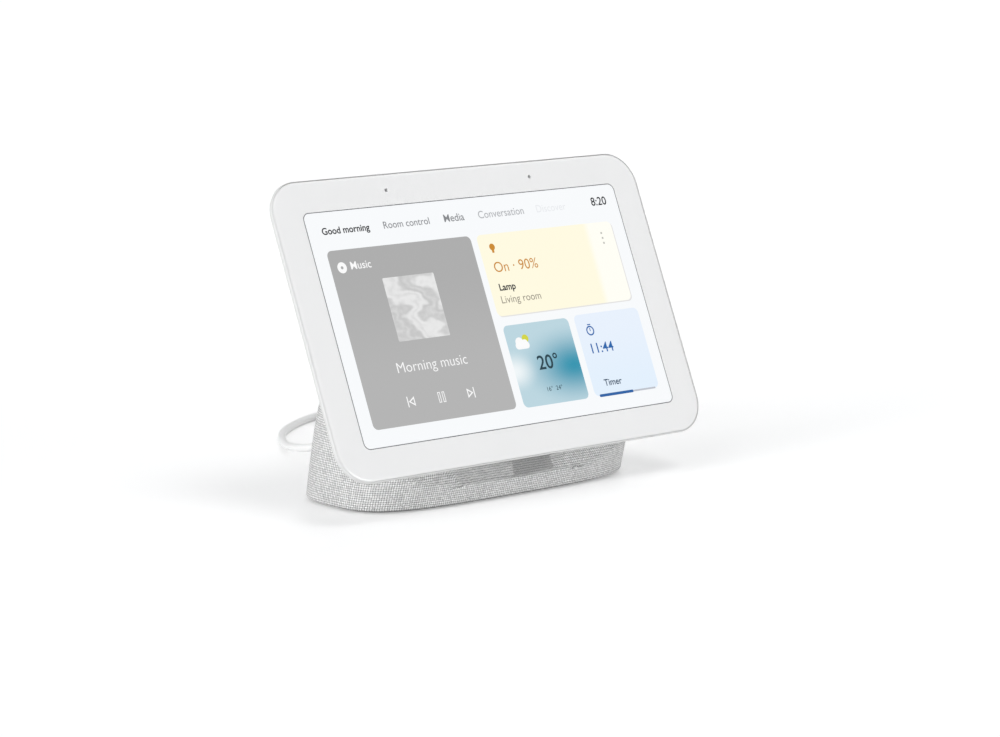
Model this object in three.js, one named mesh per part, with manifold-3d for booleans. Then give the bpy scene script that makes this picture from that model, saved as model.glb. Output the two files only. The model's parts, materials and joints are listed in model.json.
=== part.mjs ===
// Smart display: a thin display head fixed to a fabric-covered speaker base, with its power cord.
// Millimetres, +Z up. The screen faces -Y and +X is the viewer's right. The origin is on the table,
// under the centre of the object without its cord.
import * as THREE from "three";
import { ParametricGeometry } from "three/addons/geometries/ParametricGeometry.js";
import { mergeVertices } from "three/addons/utils/BufferGeometryUtils.js";
import Module from "manifold-3d";

const wasm = await Module();
wasm.setup();

// ---- Driving dimensions -------------------------------------------------------------------------
const GAP = 0.3; // between pieces that rest on each other

const HEAD = {
  tilt: THREE.MathUtils.degToRad(23.726), // lean of the screen from upright
  screenCentre: [0, -12.55, 68.56],
  width: 178.3,
  height: 113.6,
  centreV: 0.2, // the outline's centre above the screen's centre
  cornerRadius: 13.2,
  depth: 10,
  wall: 1.4,
};
const GLASS = { inset: 0.65, thickness: 1.1 };
const LEDGE = { inset: 4.6, outer: 1.0, depth: 2.0 }; // the cover's step that carries the glass
// Depths behind the glass's face at which each layer starts.
const STACK = { panel: 1.4, backlight: 3.1, frame: 4.8, board: 5.9, shield: 7.0, spreader: 8.0 };
const PANEL = { width: 155, height: 90.4, thickness: 1.3 };

const BASE = {
  bottom: 1.0, // the fabric's lower edge above the table
  squareness: { front: 3.6, rear: 3.2 }, // exponents of the superellipse sections
  halfWidth: 66.5,
  rear: 34.8,
  front: -25.7,
  skin: 1.0, // fabric
  shellInset: 1.3,
  shellWall: 2.2,
  plateBottom: 1.4,
  plateTop: 3.4,
};

const NECK = { v: -13, slotWidth: 30, slotHeight: 10, screwU: 22, screwV: 14, holeRadius: 1.6 };
const SWITCH = { v: 47, slotWidth: 13, slotHeight: 4.8, sliderWidth: 9.8 };
const ROCKER = { u: 76.7, v: 12, length: 26, width: 5, proud: 0.5 };
const MIC = { u: 35.1, v: 50.4, holeRadius: 0.7 };

const SPEAKER = { height: 44, recess: 6, flangeRadius: 22.5, openingRadius: 19.2, screwRadius: 20.9 };
const JACK = { z: 12, face: 33.0, barrelRadius: 1.9, holeRadius: 2.2, bezelOuter: 6, bezelInner: 4.8 };

const CORD = { radius: 1.6, sides: 8 };
const COIL = { x: 50, y: 118, z: 1.0, meanRadius: 18.6, turnsPerLayer: 2.75, layers: 4 };
const ADAPTER = { x: 71.5, y: 62, width: 40, length: 44, height: 27, corner: 5 };

// The cord's free stretch from the plug to the coil: straight out of the jack, down to the table,
// round one loose loop and into the coil.
const LEAD_ROUTE = [
  [0, 54.3, 12],
  [0, 56.4, 12],
  [-0.9, 60.2, 11.6],
  [-3.2, 63.7, 10.9],
  [-6.6, 66.2, 10],
  [-10.6, 68, 8.9],
  [-14.3, 70.2, 7.9],
  [-17.4, 73.2, 6.9],
  [-19.1, 77.2, 5.9],
  [-19, 83.4, 4.9],
  [-16.8, 91, 3.9],
  [-13.3, 98.8, 2.9],
  [-9, 106.3, 2.1],
  [-3.2, 115.4, 1.7],
  [1.9, 122.5, 1.65],
  [8.1, 129, 1.65],
  [16.1, 135.4, 1.65],
  [26.1, 141.9, 1.65],
  [34.2, 146.1, 1.65],
  [43, 149, 1.65],
  [52, 149.4, 1.65],
  [60, 147, 1.7],
  [66, 142, 1.8],
  [69.6, 135.2, 2.1],
  [70.85, 127.7, 2.6],
];
const TAIL_START = [72.9, 115.5, 12.3]; // where the cord's last stretch leaves the coil for the adapter

// ---- Solids -------------------------------------------------------------------------------------
function toSolid(geometry) {
  const bare = new THREE.BufferGeometry().setAttribute("position", geometry.getAttribute("position"));
  if (geometry.index) bare.setIndex(geometry.index);
  const merged = mergeVertices(bare, 1e-4);
  const kept = [];
  const index = merged.index.array;
  for (let i = 0; i < index.length; i += 3) {
    const [a, b, c] = [index[i], index[i + 1], index[i + 2]];
    if (a !== b && b !== c && c !== a) kept.push(a, b, c);
  }
  const mesh = new wasm.Mesh({
    numProp: 3,
    vertProperties: merged.attributes.position.array,
    triVerts: new Uint32Array(kept),
  });
  return new wasm.Manifold(mesh);
}

function toGeometry(solid) {
  const mesh = solid.getMesh();
  const geometry = new THREE.BufferGeometry();
  geometry.setAttribute("position", new THREE.BufferAttribute(mesh.vertProperties, 3));
  geometry.setIndex(new THREE.BufferAttribute(mesh.triVerts, 1));
  geometry.computeVertexNormals();
  return geometry;
}

const subtract = (geometry, ...tools) =>
  toGeometry(tools.reduce((solid, tool) => solid.subtract(toSolid(tool)), toSolid(geometry)));
const join = (geometry, ...more) =>
  toGeometry(more.reduce((solid, other) => solid.add(toSolid(other)), toSolid(geometry)));
const intersect = (a, b) => toGeometry(toSolid(a).intersect(toSolid(b)));

// A closed ring of stations, each a list of points, skinned from first to last and capped.
function loft(stations) {
  const count = stations[0].length;
  const centre = (ring) =>
    ring.reduce((sum, p) => sum.add(p), new THREE.Vector3()).divideScalar(count);
  const rings = [
    stations[0].map(() => centre(stations[0])),
    ...stations,
    stations[0].map(() => centre(stations.at(-1))),
  ];
  const place = (u, v, target) => {
    const ring = rings[Math.round(v * (rings.length - 1))];
    target.copy(ring[Math.round(u * count) % count]);
  };
  return new ParametricGeometry(place, count, rings.length - 1);
}

function lathe(profile, segments = 24) {
  const area = profile.reduce((sum, [x, y], i) => {
    const [nextX, nextY] = profile[(i + 1) % profile.length];
    return sum + x * nextY - nextX * y;
  }, 0);
  const points = profile.map(([x, y]) => new THREE.Vector2(x, y));
  if (area < 0) points.reverse();
  const closed = profile.at(-1)[0] !== 0 || profile[0][0] !== 0;
  if (closed) points.push(points[0].clone());
  return new THREE.LatheGeometry(points, segments);
}

const box = (x, y, z, width, depth, height) =>
  new THREE.BoxGeometry(width, depth, height).translate(x, y, z);

// A cylinder along local Z, from zLow to zHigh.
const post = (x, y, zLow, zHigh, radius, segments = 16) =>
  new THREE.CylinderGeometry(radius, radius, zHigh - zLow, segments)
    .rotateX(Math.PI / 2)
    .translate(x, y, (zLow + zHigh) / 2);

function roundedShape(width, height, radius, x = 0, y = 0) {
  const [w, h] = [width / 2, height / 2];
  const shape = new THREE.Shape();
  shape.moveTo(x - w + radius, y - h);
  shape.absarc(x + w - radius, y - h + radius, radius, -Math.PI / 2, 0);
  shape.absarc(x + w - radius, y + h - radius, radius, 0, Math.PI / 2);
  shape.absarc(x - w + radius, y + h - radius, radius, Math.PI / 2, Math.PI);
  shape.absarc(x - w + radius, y - h + radius, radius, Math.PI, 1.5 * Math.PI);
  shape.closePath();
  return shape;
}

const slab = (shape, zLow, zHigh, curveSegments = 3) =>
  new THREE.ExtrudeGeometry(shape, {
    depth: zHigh - zLow,
    bevelEnabled: false,
    curveSegments,
  }).translate(0, 0, zLow);

function alongPath(points, shape, steps) {
  const vectors = points.map((p) => new THREE.Vector3(...p));
  const path = new THREE.CatmullRomCurve3(vectors, false, "centripetal");
  return new THREE.ExtrudeGeometry(shape, { steps, extrudePath: path, curveSegments: 2 });
}

const ribbon = (points, width, thickness, steps) => {
  const section = new THREE.Shape();
  section.moveTo(-width / 2, -thickness / 2);
  section.lineTo(width / 2, -thickness / 2);
  section.lineTo(width / 2, thickness / 2);
  section.lineTo(-width / 2, thickness / 2);
  section.closePath();
  return alongPath(points, section, steps);
};

function tube(points, radius, steps) {
  const corners = Array.from({ length: CORD.sides }, (_, i) => {
    const angle = (2 * Math.PI * (i + 0.5)) / CORD.sides;
    return new THREE.Vector2(radius * Math.cos(angle), radius * Math.sin(angle));
  });
  return alongPath(points, new THREE.Shape(corners), steps);
}

// ---- Materials ----------------------------------------------------------------------------------
const finish = (color, roughness, metalness = 0) =>
  new THREE.MeshStandardMaterial({ color, roughness, metalness });
const FINISHES = {
  glass: () => finish(0xe9e9ea, 0.12),
  plastic: () => finish(0xefefee, 0.5),
  fabric: () => finish(0xc9c9c9, 0.95),
  rubber: () => finish(0xbdbdbb, 0.85),
  steel: () => finish(0x9a9c9f, 0.4, 0.9),
  board: () => finish(0x1f5a3c, 0.6),
  black: () => finish(0x202224, 0.6),
  grey: () => finish(0x8a8d90, 0.5),
  foam: () => finish(0x3a3b3d, 0.95),
  foil: () => finish(0xc8cacc, 0.3, 0.8),
  amber: () => finish(0xc8863a, 0.5),
  paper: () => finish(0x4a4640, 0.9),
};

function mesh(group, name, geometry, finishName) {
  const made = new THREE.Mesh(geometry, FINISHES[finishName]());
  made.name = name;
  group.add(made);
  return made;
}

// ---- Display head: local X right, Y up the screen, Z out of the glass ----------------------------
const head = new THREE.Group();
head.position.set(...HEAD.screenCentre);
head.rotation.x = Math.PI / 2 - HEAD.tilt;
head.updateMatrix();
const inWorld = (geometry) => geometry.applyMatrix4(head.matrix);

// The outline drawn in by an inset, at a depth behind the glass.
function outlineRing(inset, depth) {
  const width = HEAD.width - 2 * inset;
  const height = HEAD.height - 2 * inset;
  const radius = Math.max(HEAD.cornerRadius - 0.6 * inset, 3);
  const corners = [
    [1, -1, -90],
    [1, 1, 0],
    [-1, 1, 90],
    [-1, -1, 180],
  ];
  const perCorner = 5;
  return corners.flatMap(([signX, signY, start]) =>
    Array.from({ length: perCorner + 1 }, (_, i) => {
      const angle = THREE.MathUtils.degToRad(start + (90 * i) / perCorner);
      const x = signX * (width / 2 - radius) + radius * Math.cos(angle);
      const y = signY * (height / 2 - radius) + radius * Math.sin(angle);
      return new THREE.Vector3(x, HEAD.centreV + y, -depth);
    }),
  );
}

const headLoft = (profile) => loft(profile.map(([depth, inset]) => outlineRing(inset, depth)).reverse());

// The rear edge's profile as (depth, inset), a curve from the lip to the flat back, grown outwards.
function rearProfile(grow, steps) {
  const curve = new THREE.CubicBezierCurve(
    new THREE.Vector2(1.2, -grow),
    new THREE.Vector2(3.2 + grow, -grow),
    new THREE.Vector2(HEAD.depth + grow, 10),
    new THREE.Vector2(HEAD.depth + grow, 22),
  );
  return curve.getPoints(steps).map((p) => [p.x, p.y]);
}

const headEnvelope = (grow = 0) => headLoft([[0, 0.18 - grow], [0.2, 0.04 - grow], ...rearProfile(grow, 5)]);

function headCavity() {
  const curve = new THREE.CubicBezierCurve(
    new THREE.Vector2(LEDGE.depth, LEDGE.inset),
    new THREE.Vector2(LEDGE.depth + 2.2, LEDGE.inset),
    new THREE.Vector2(HEAD.depth - HEAD.wall, 11.5),
    new THREE.Vector2(HEAD.depth - HEAD.wall, 22.5),
  );
  return headLoft([[-1, LEDGE.inset], ...curve.getPoints(4).map((p) => [p.x, p.y])]);
}

const atDepth = (shape, from, to, segments) => slab(shape, -to, -from, segments);

// A square-cornered piece behind the glass, by its middle, size and the depths it spans.
const block = (u, v, width, height, from, to) =>
  box(u, v, -(from + to) / 2, width, height, to - from);

const neckScrews = [
  [-NECK.screwU, NECK.v - NECK.screwV],
  [NECK.screwU, NECK.v - NECK.screwV],
  [NECK.screwU, NECK.v + NECK.screwV],
  [-NECK.screwU, NECK.v + NECK.screwV],
];

function rearCover() {
  const recess = headLoft([
    [-1, GLASS.inset - GAP],
    [GLASS.thickness + GAP, GLASS.inset - GAP],
  ]);
  const adhesiveSeat = headLoft([
    [0, LEDGE.outer],
    [LEDGE.depth, LEDGE.outer],
  ]);
  const neckSlot = roundedShape(NECK.slotWidth, NECK.slotHeight, 4, 0, NECK.v);
  const switchSlot = roundedShape(SWITCH.slotWidth, SWITCH.slotHeight, 2.3, 0, SWITCH.v);
  const rockerSlot = roundedShape(ROCKER.width + 2 * GAP, ROCKER.length + 2 * GAP, 2.7, ROCKER.u, ROCKER.v);
  return subtract(
    headEnvelope(),
    recess,
    adhesiveSeat,
    headCavity(),
    atDepth(neckSlot, 7, 12),
    atDepth(switchSlot, 5, 12),
    atDepth(rockerSlot, 5, 12),
    ...neckScrews.map(([x, y]) => post(x, y, -12, -7, NECK.holeRadius)),
  );
}

function frontGlass() {
  const { inset, thickness } = GLASS;
  const plate = headLoft([
    [0, inset + 0.4],
    [0.12, inset + 0.12],
    [0.4, inset],
    [thickness, inset],
  ]);
  return subtract(
    plate,
    ...[-1, 1].map((side) => post(side * MIC.u, MIC.v, -2, 1, MIC.holeRadius, 8)),
  );
}

function glassAdhesive() {
  const outer = headLoft([
    [GLASS.thickness + GAP, LEDGE.outer + GAP],
    [LEDGE.depth - GAP, LEDGE.outer + GAP],
  ]);
  const inner = headLoft([
    [0, LEDGE.inset - 0.1],
    [3, LEDGE.inset - 0.1],
  ]);
  return subtract(outer, inner);
}

function switchSlider() {
  const x = -(SWITCH.slotWidth - SWITCH.sliderWidth - 2 * GAP) / 2;
  const button = roundedShape(SWITCH.sliderWidth, SWITCH.slotHeight - 2 * GAP, 2, x, SWITCH.v);
  return intersect(atDepth(button, STACK.board + 0.1, 12), headEnvelope(0.6));
}

function volumeRocker() {
  const button = roundedShape(ROCKER.width, ROCKER.length, 2.45, ROCKER.u, ROCKER.v);
  return intersect(atDepth(button, 6.4, 12), headEnvelope(ROCKER.proud));
}

function neckBracket() {
  const plate = atDepth(roundedShape(60, 42, 4, 0, NECK.v), 7, HEAD.depth - HEAD.wall - GAP);
  return subtract(
    plate,
    atDepth(roundedShape(NECK.slotWidth + 1, NECK.slotHeight + 1, 4, 0, NECK.v), 6, 12),
    ...neckScrews.map(([x, y]) => post(x, y, -12, -6, 1.4)),
  );
}

function neckScrew([x, y]) {
  const seat = -(HEAD.depth + BASE.shellInset + BASE.shellWall + 2 * GAP);
  const profile = [
    [0, seat - 1.5],
    [2.4, seat - 1.5],
    [2.6, seat - 1.1],
    [2.6, seat],
    [1.1, seat],
    [1.1, -7.3],
    [0, -7.3],
  ];
  return lathe(profile, 12).rotateX(Math.PI / 2).translate(x, y, 0);
}

mesh(head, "front_glass", frontGlass(), "glass");
mesh(head, "glass_adhesive", glassAdhesive(), "foam");
const layer = (depth) => block(0, 0, PANEL.width, PANEL.height, depth, depth + PANEL.thickness);
mesh(head, "lcd_panel", layer(STACK.panel), "black");
mesh(head, "backlight_unit", layer(STACK.backlight), "foil");
mesh(head, "midframe", atDepth(roundedShape(144, 84, 4), STACK.frame, STACK.frame + 0.8), "steel");
mesh(head, "rear_cover", rearCover(), "plastic");
mesh(head, "main_board", block(0, 14, 118, 58, STACK.board, STACK.board + 0.8), "board");
mesh(head, "board_shield", block(-20, 24, 46, 26, STACK.shield, STACK.shield + 0.7), "foil");
mesh(head, "heat_spreader", block(-12, 21, 78, 22, STACK.spreader, STACK.spreader + 0.3), "grey");
for (const [name, side] of [["microphone_left", -1], ["microphone_right", 1]]) {
  mesh(head, name, block(side * MIC.u, MIC.v, 3.4, 2.4, STACK.panel, 2.5), "foil");
}
mesh(head, "light_sensor", block(0, MIC.v, 3, 2.4, STACK.panel, 2.3), "black");
mesh(head, "motion_sensor", block(13, MIC.v, 7, 2.4, STACK.panel, 2.5), "black");
mesh(head, "wifi_antenna", block(-42, 46, 34, 4, STACK.frame, STACK.frame + 0.4), "amber");
mesh(head, "mic_switch_body", block(0, SWITCH.v - 0.3, 15, 3, STACK.frame, STACK.frame + 0.5), "black");
mesh(head, "mic_switch_slider", switchSlider(), "plastic");
mesh(head, "volume_board", block(76.2, ROCKER.v, 6.4, 27, 5.0, 5.4), "board");
for (const [name, offset] of [["volume_tact_up", 9], ["volume_tact_down", -9]]) {
  mesh(head, name, block(76.2, ROCKER.v + offset, 3, 3, 5.7, 5.95), "foil");
}
mesh(head, "volume_rocker", volumeRocker(), "plastic");
mesh(head, "neck_bracket", neckBracket(), "steel");
neckScrews.forEach((place, i) => mesh(head, `neck_screw_${i + 1}`, neckScrew(place), "steel"));

const flexRoute = [
  [0, -46.4, -2.2],
  [0, -47.7, -2.9],
  [0, -47.4, -4.2],
  [0, -45.6, -5.2],
  [0, -43.5, -5.6],
  [0, -41.2, -6.2],
  [0, -30, -6.3],
  [0, -15.4, -6.3],
];
mesh(head, "display_flex", ribbon(flexRoute, 20, 0.3, 14), "amber");

// ---- Base ---------------------------------------------------------------------------------------
const base = new THREE.Group();

const halfWidthAt = (h) => BASE.halfWidth - 0.03 * h - 26 * (h / 92) ** 4;
const frontAt = (h) => BASE.front - 0.318 * h;
const rearAt = (h) => BASE.rear - 0.08 * h - 0.00174 * h ** 2 - 8.5 * (h / 86) ** 5;

// One superellipse section, h above the fabric's lower edge and drawn in by an inset.
function baseRing(h, inset, count = 40) {
  const a = halfWidthAt(h) - inset;
  const b = (rearAt(h) - frontAt(h)) / 2 - inset;
  const centreY = (rearAt(h) + frontAt(h)) / 2;
  return Array.from({ length: count }, (_, i) => {
    const angle = (2 * Math.PI * i) / count;
    const [c, s] = [Math.cos(angle), Math.sin(angle)];
    const power = 2 / (s < 0 ? BASE.squareness.front : BASE.squareness.rear);
    const x = a * Math.sign(c) * Math.abs(c) ** power;
    const y = centreY + b * Math.sign(s) * Math.abs(s) ** power;
    return new THREE.Vector3(x, y, BASE.bottom + h);
  });
}

// The base's form from height h up, cut off by a plane parallel to the head's back.
function baseForm(inset, fromH, cutDepth, hem = []) {
  const levels = [...hem, ...[fromH, 14, 30, 46, 60, 71, 80, 87, 93].map((h) => [h, inset])];
  const body = loft(levels.map(([h, drawnIn]) => baseRing(h, drawnIn)));
  const reach = 150;
  const headSide = inWorld(box(0, 0, reach - cutDepth, 3 * reach, 3 * reach, 2 * reach));
  return subtract(body, headSide);
}

const fabricTop = HEAD.depth + GAP; // depths of the faces that lie along the head's back
const shellTop = fabricTop + BASE.shellInset;
const shellInside = shellTop + BASE.shellWall;
const speaker = new THREE.Group();
const spread = SPEAKER.flangeRadius;
const lean = Math.atan((rearAt(SPEAKER.height - spread) - rearAt(SPEAKER.height + spread)) / (2 * spread));
speaker.position.set(
  0,
  rearAt(SPEAKER.height) - SPEAKER.recess * Math.cos(lean),
  BASE.bottom + SPEAKER.height - SPEAKER.recess * Math.sin(lean),
);
speaker.rotation.x = lean;
speaker.updateMatrix();
const fromSpeaker = (geometry) => geometry.applyMatrix4(speaker.matrix);

// A cylinder along the speaker's axis, or along Y through the jack.
const rod = (radius, yLow, yHigh, segments = 32, x = 0, z = 0) =>
  new THREE.CylinderGeometry(radius, radius, yHigh - yLow, segments).translate(x, (yLow + yHigh) / 2, z);

const speakerScrews = [45, 225].map((degrees) => {
  const angle = THREE.MathUtils.degToRad(degrees);
  return [SPEAKER.screwRadius * Math.cos(angle), SPEAKER.screwRadius * Math.sin(angle)];
});
const screwHoles = (radius, yLow, yHigh) => speakerScrews.map(([x, z]) => rod(radius, yLow, yHigh, 8, x, z));

const BOSS = { x: 54, yFront: -6, yRear: 14, radius: 3.2, bottom: 6.7, top: 18, wallX: 62.7 };
const bosses = [
  [-BOSS.x, BOSS.yFront],
  [BOSS.x, BOSS.yFront],
  [BOSS.x, BOSS.yRear],
  [-BOSS.x, BOSS.yRear],
];

// The pad on the shell that comes through the fabric to meet the head.
const neckPad = (grow) => roundedShape(58 + 2 * grow, 42 + 2 * grow, 4 + grow, 0, NECK.v);

function baseShell() {
  const outer = baseForm(BASE.shellInset, BASE.plateTop - BASE.bottom, shellTop);
  const inner = baseForm(BASE.shellInset + BASE.shellWall, 0, shellInside);
  const walls = subtract(outer, inner);
  const baffle = intersect(fromSpeaker(rod(spread + 2.5, 0, 12, 28)), outer);
  const pad = inWorld(atDepth(neckPad(0), fabricTop, shellTop + 0.5));
  const ribs = bosses.flatMap(([x, y]) => {
    const reach = BOSS.wallX - BOSS.x;
    const side = Math.sign(x);
    const height = BOSS.top - BOSS.bottom;
    return [
      post(x, y, BOSS.bottom, BOSS.top, BOSS.radius, 12),
      box(side * (BOSS.x + reach / 2), y, BOSS.bottom + height / 2, reach, 2, height),
    ];
  });
  const holes = neckScrews.map(([x, y]) => inWorld(post(x, y, -15, -8, NECK.holeRadius)));
  const slot = inWorld(atDepth(roundedShape(NECK.slotWidth, NECK.slotHeight, 4, 0, NECK.v), 8, 15));
  return subtract(
    join(walls, baffle, pad, ...ribs),
    fromSpeaker(rod(SPEAKER.openingRadius, -2, 14, 28)),
    ...screwHoles(1.0, -1, 3).map(fromSpeaker),
    rod(JACK.bezelOuter + GAP, 20, 40, 20).translate(0, 0, JACK.z),
    ...holes,
    slot,
    ...bosses.map(([x, y]) => post(x, y, 5, BOSS.top - 2, 1.3, 10)),
  );
}

function fabricSleeve() {
  const outer = baseForm(0, 0.8, fabricTop, [[0, 0.6]]);
  const inner = baseForm(BASE.skin, -2, fabricTop + BASE.skin);
  return subtract(
    outer,
    inner,
    inWorld(atDepth(neckPad(GAP), 9, shellTop)),
    rod(JACK.bezelOuter + GAP, 20, 40, 20).translate(0, 0, JACK.z),
  );
}

// A flat plate with the base's outline at its foot.
function footPlate(inset, zLow, zHigh) {
  const outline = new THREE.Shape(baseRing(1, inset).map((p) => new THREE.Vector2(p.x, p.y)));
  return slab(outline, zLow, zHigh);
}

function basePlate() {
  return subtract(
    footPlate(BASE.shellInset + 0.2, BASE.plateBottom, BASE.plateTop),
    ...bosses.map(([x, y]) => post(x, y, 0, 5, 1.5, 12)),
    ...bosses.map(([x, y]) => post(x, y, 0, BASE.plateBottom + 1.2, 3, 12)),
  );
}

function baseScrew([x, y]) {
  const bottom = BASE.plateBottom + 0.1;
  const profile = [
    [0, bottom],
    [2.5, bottom],
    [2.5, bottom + 0.8],
    [1.1, bottom + 0.8],
    [1.1, BOSS.top - 6],
    [0, BOSS.top - 6],
  ];
  return lathe(profile, 12).rotateX(Math.PI / 2).translate(x, y, 0);
}

mesh(base, "fabric_sleeve", fabricSleeve(), "fabric");
mesh(base, "base_shell", baseShell(), "plastic");
mesh(base, "base_plate", basePlate(), "plastic");
mesh(base, "rubber_foot", footPlate(3.2, 0, BASE.plateBottom), "rubber");
mesh(base, "ballast_plate", slab(roundedShape(92, 40, 4, 0, 6), BASE.plateTop, 6.4), "steel");
bosses.forEach((place, i) => mesh(base, `base_screw_${i + 1}`, baseScrew(place), "steel"));

// Jack, on the centre line at the back.
function powerJack() {
  const body = box(0, JACK.face - 6, JACK.z, 9, 12, 8);
  const bore = rod(JACK.holeRadius, JACK.face - 10.5, JACK.face + 1, 20).translate(0, 0, JACK.z);
  const pin = rod(0.5, JACK.face - 11, JACK.face - 1.5, 8).translate(0, 0, JACK.z);
  return join(subtract(body, bore), pin);
}

function jackBezel() {
  const profile = [
    [JACK.bezelInner, 27.3],
    [7.5, 27.3],
    [7.5, 28.5],
    [JACK.bezelOuter, 28.5],
    [JACK.bezelOuter, 34.1],
    [JACK.bezelOuter - 0.3, 34.4],
    [JACK.bezelInner, 34.4],
  ];
  const ring = lathe(profile, 20).translate(0, 0, JACK.z);
  return subtract(ring, box(0, 26, JACK.z, 10, 15, 9));
}

mesh(base, "power_jack", powerJack(), "black");
mesh(base, "jack_board", box(0, 19.5, 7.35, 26, 14, 1.3), "board");
mesh(base, "jack_bezel", jackBezel(), "plastic");

// A flat cable from the jack's board, past the speaker and through the neck to the main board.
const cableRoute = [
  [0, 15, 8.6],
  [0, 5, 9],
  [0, -4, 12.5],
  [0, -8, 22],
  [0, -7.6, 34],
  [0, -5.8, 44],
  [0, -5.6, 49.6],
  [0, -8.6, 52.7],
  [0, -11.3, 53.9],
];
mesh(base, "head_cable", ribbon(cableRoute, 12, 0.4, 20), "amber");

// ---- Speaker: local Y points out of the back, its front plane at Y = 0 ----------------------------
base.add(speaker);

function speakerBasket() {
  const profile = [
    [19.2, -GAP],
    [spread, -GAP],
    [spread, -1.5],
    [19.9, -1.8],
    [14.6, -12],
    [14.6, -13.5],
    [8.4, -13.5],
    [8.4, -12.3],
    [13.4, -12.3],
    [18.6, -2],
    [19.2, -1.4],
  ];
  return subtract(lathe(profile, 28), ...screwHoles(0.9, -3, 1));
}

function speakerGasket() {
  const profile = [
    [19.4, 0.0],
    [spread, 0.0],
    [spread, -0.2],
    [19.4, -0.2],
  ];
  return subtract(lathe(profile, 28), ...screwHoles(0.9, -3, 1));
}

function speakerMotor() {
  return lathe([
    [0, -22],
    [14, -22],
    [14, -13.8],
    [7.8, -13.8],
    [7.8, -20],
    [5.4, -20],
    [5.4, -13.8],
    [0, -13.8],
  ]);
}

const speakerScrew = ([x, z]) =>
  lathe(
    [
      [0, -3.1],
      [1.2, -3.1],
      [1.2, -2.1],
      [0.6, -2.1],
      [0.6, 2],
      [0, 2],
    ],
    8,
  ).translate(x, 0, z);

mesh(speaker, "speaker_basket", speakerBasket(), "black");
mesh(speaker, "speaker_motor", speakerMotor(), "steel");
mesh(speaker, "speaker_gasket", speakerGasket(), "foam");
speakerScrews.forEach((place, i) => mesh(speaker, `speaker_screw_${i + 1}`, speakerScrew(place), "steel"));

const coneProfile = [
  [6.4, -7.9],
  [15.6, -2],
  [15.6, -2.7],
  [6.4, -8.5],
];
const capProfile = [
  [0, -4.8],
  [3.4, -5.2],
  [6.1, -6.4],
  [7.0, -7],
  [6.3, -7.1],
  [3.2, -5.7],
  [0, -5.3],
];
const voiceCoilProfile = [
  [6.2, -17],
  [6.9, -17],
  [6.9, -8.9],
  [6.2, -8.9],
];
const surroundProfile = [
  [15.9, -2.6],
  [16.4, -1.6],
  [17.3, -1.1],
  [18.2, -1.6],
  [18.0, -2.1],
  [17.3, -1.6],
  [16.5, -2.2],
];
const spiderProfile = [
  [7.3, -10.6],
  [13, -10.6],
  [13, -10.1],
  [7.3, -10.1],
];
mesh(speaker, "speaker_cone", lathe(coneProfile), "paper");
mesh(speaker, "dust_cap", lathe(capProfile), "paper");
mesh(speaker, "voice_coil", lathe(voiceCoilProfile, 24), "amber");
mesh(speaker, "speaker_surround", lathe(surroundProfile), "foam");
mesh(speaker, "speaker_spider", lathe(spiderProfile, 24), "amber");

// ---- Cord ---------------------------------------------------------------------------------------
const cord = new THREE.Group();
const atJack = (profile, segments) => lathe(profile, segments).translate(0, 0, JACK.z);

const barrelProfile = [
  [0, JACK.face + 0.2],
  [JACK.barrelRadius, JACK.face + 0.2],
  [JACK.barrelRadius, JACK.face - 9.5],
  [0.9, JACK.face - 9.5],
  [0.9, JACK.face - 1],
  [0, JACK.face - 1],
];
const overmoldProfile = [
  [0, JACK.face + 0.5],
  [3.8, JACK.face + 0.5],
  [4.2, JACK.face + 1.2],
  [4.2, 43],
  [3.6, 44.6],
  [2.9, 46],
  [2.5, 54],
  [0, 54],
];
mesh(cord, "dc_plug", atJack(barrelProfile, 16), "steel");
mesh(cord, "plug_overmold", atJack(overmoldProfile, 20), "plastic");

const bundle = COIL.turnsPerLayer * 2 * CORD.radius + 2 * CORD.radius;
const coilHeight = COIL.layers * 2 * CORD.radius;
// The coil's outer shape, grown by a clearance.
function ringSolid(grow, segments) {
  const [low, high] = [COIL.meanRadius - bundle / 2 - grow, COIL.meanRadius + bundle / 2 + grow];
  const [bottom, top] = [COIL.z - grow, COIL.z + coilHeight + grow];
  const profile = [
    [low, bottom],
    [high, bottom],
    [high, top],
    [low, top],
  ];
  return lathe(profile, segments).rotateX(Math.PI / 2).translate(COIL.x, COIL.y, 0);
}

mesh(cord, "cord_lead", subtract(tube(LEAD_ROUTE, CORD.radius, 28), ringSolid(GAP, 48)), "plastic");
mesh(cord, "cord_coil", ringSolid(0, 40), "plastic");

function cordTie() {
  const wall = 0.7;
  const slack = 2 * GAP; // the bundle curves inside the straight band
  const hoop = (width, grow) =>
    box(-COIL.meanRadius, 0, 0, bundle + 2 * (slack + grow), width, coilHeight + 2 * (GAP + grow));
  return subtract(hoop(5, wall), hoop(7, 0)).translate(COIL.x, COIL.y, COIL.z + coilHeight / 2);
}
mesh(cord, "cord_tie", cordTie(), "grey");

const adapterEnd = ADAPTER.y + ADAPTER.length / 2;
const reliefEnd = adapterEnd + 12;
const tailRoute = [
  TAIL_START,
  [ADAPTER.x + 1.1, 105, 12.6],
  [ADAPTER.x + 0.2, 100, 13.2],
  [ADAPTER.x, reliefEnd + GAP, ADAPTER.height / 2],
];
mesh(cord, "cord_tail", subtract(tube(tailRoute, CORD.radius, 5), ringSolid(GAP, 48)), "plastic");

const reliefProfile = [
  [0, adapterEnd + GAP],
  [3.4, adapterEnd + GAP],
  [3.2, adapterEnd + 4],
  [2.3, reliefEnd],
  [0, reliefEnd],
];
mesh(
  cord,
  "adapter_strain_relief",
  lathe(reliefProfile, 16).translate(ADAPTER.x, 0, ADAPTER.height / 2),
  "plastic",
);

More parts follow.
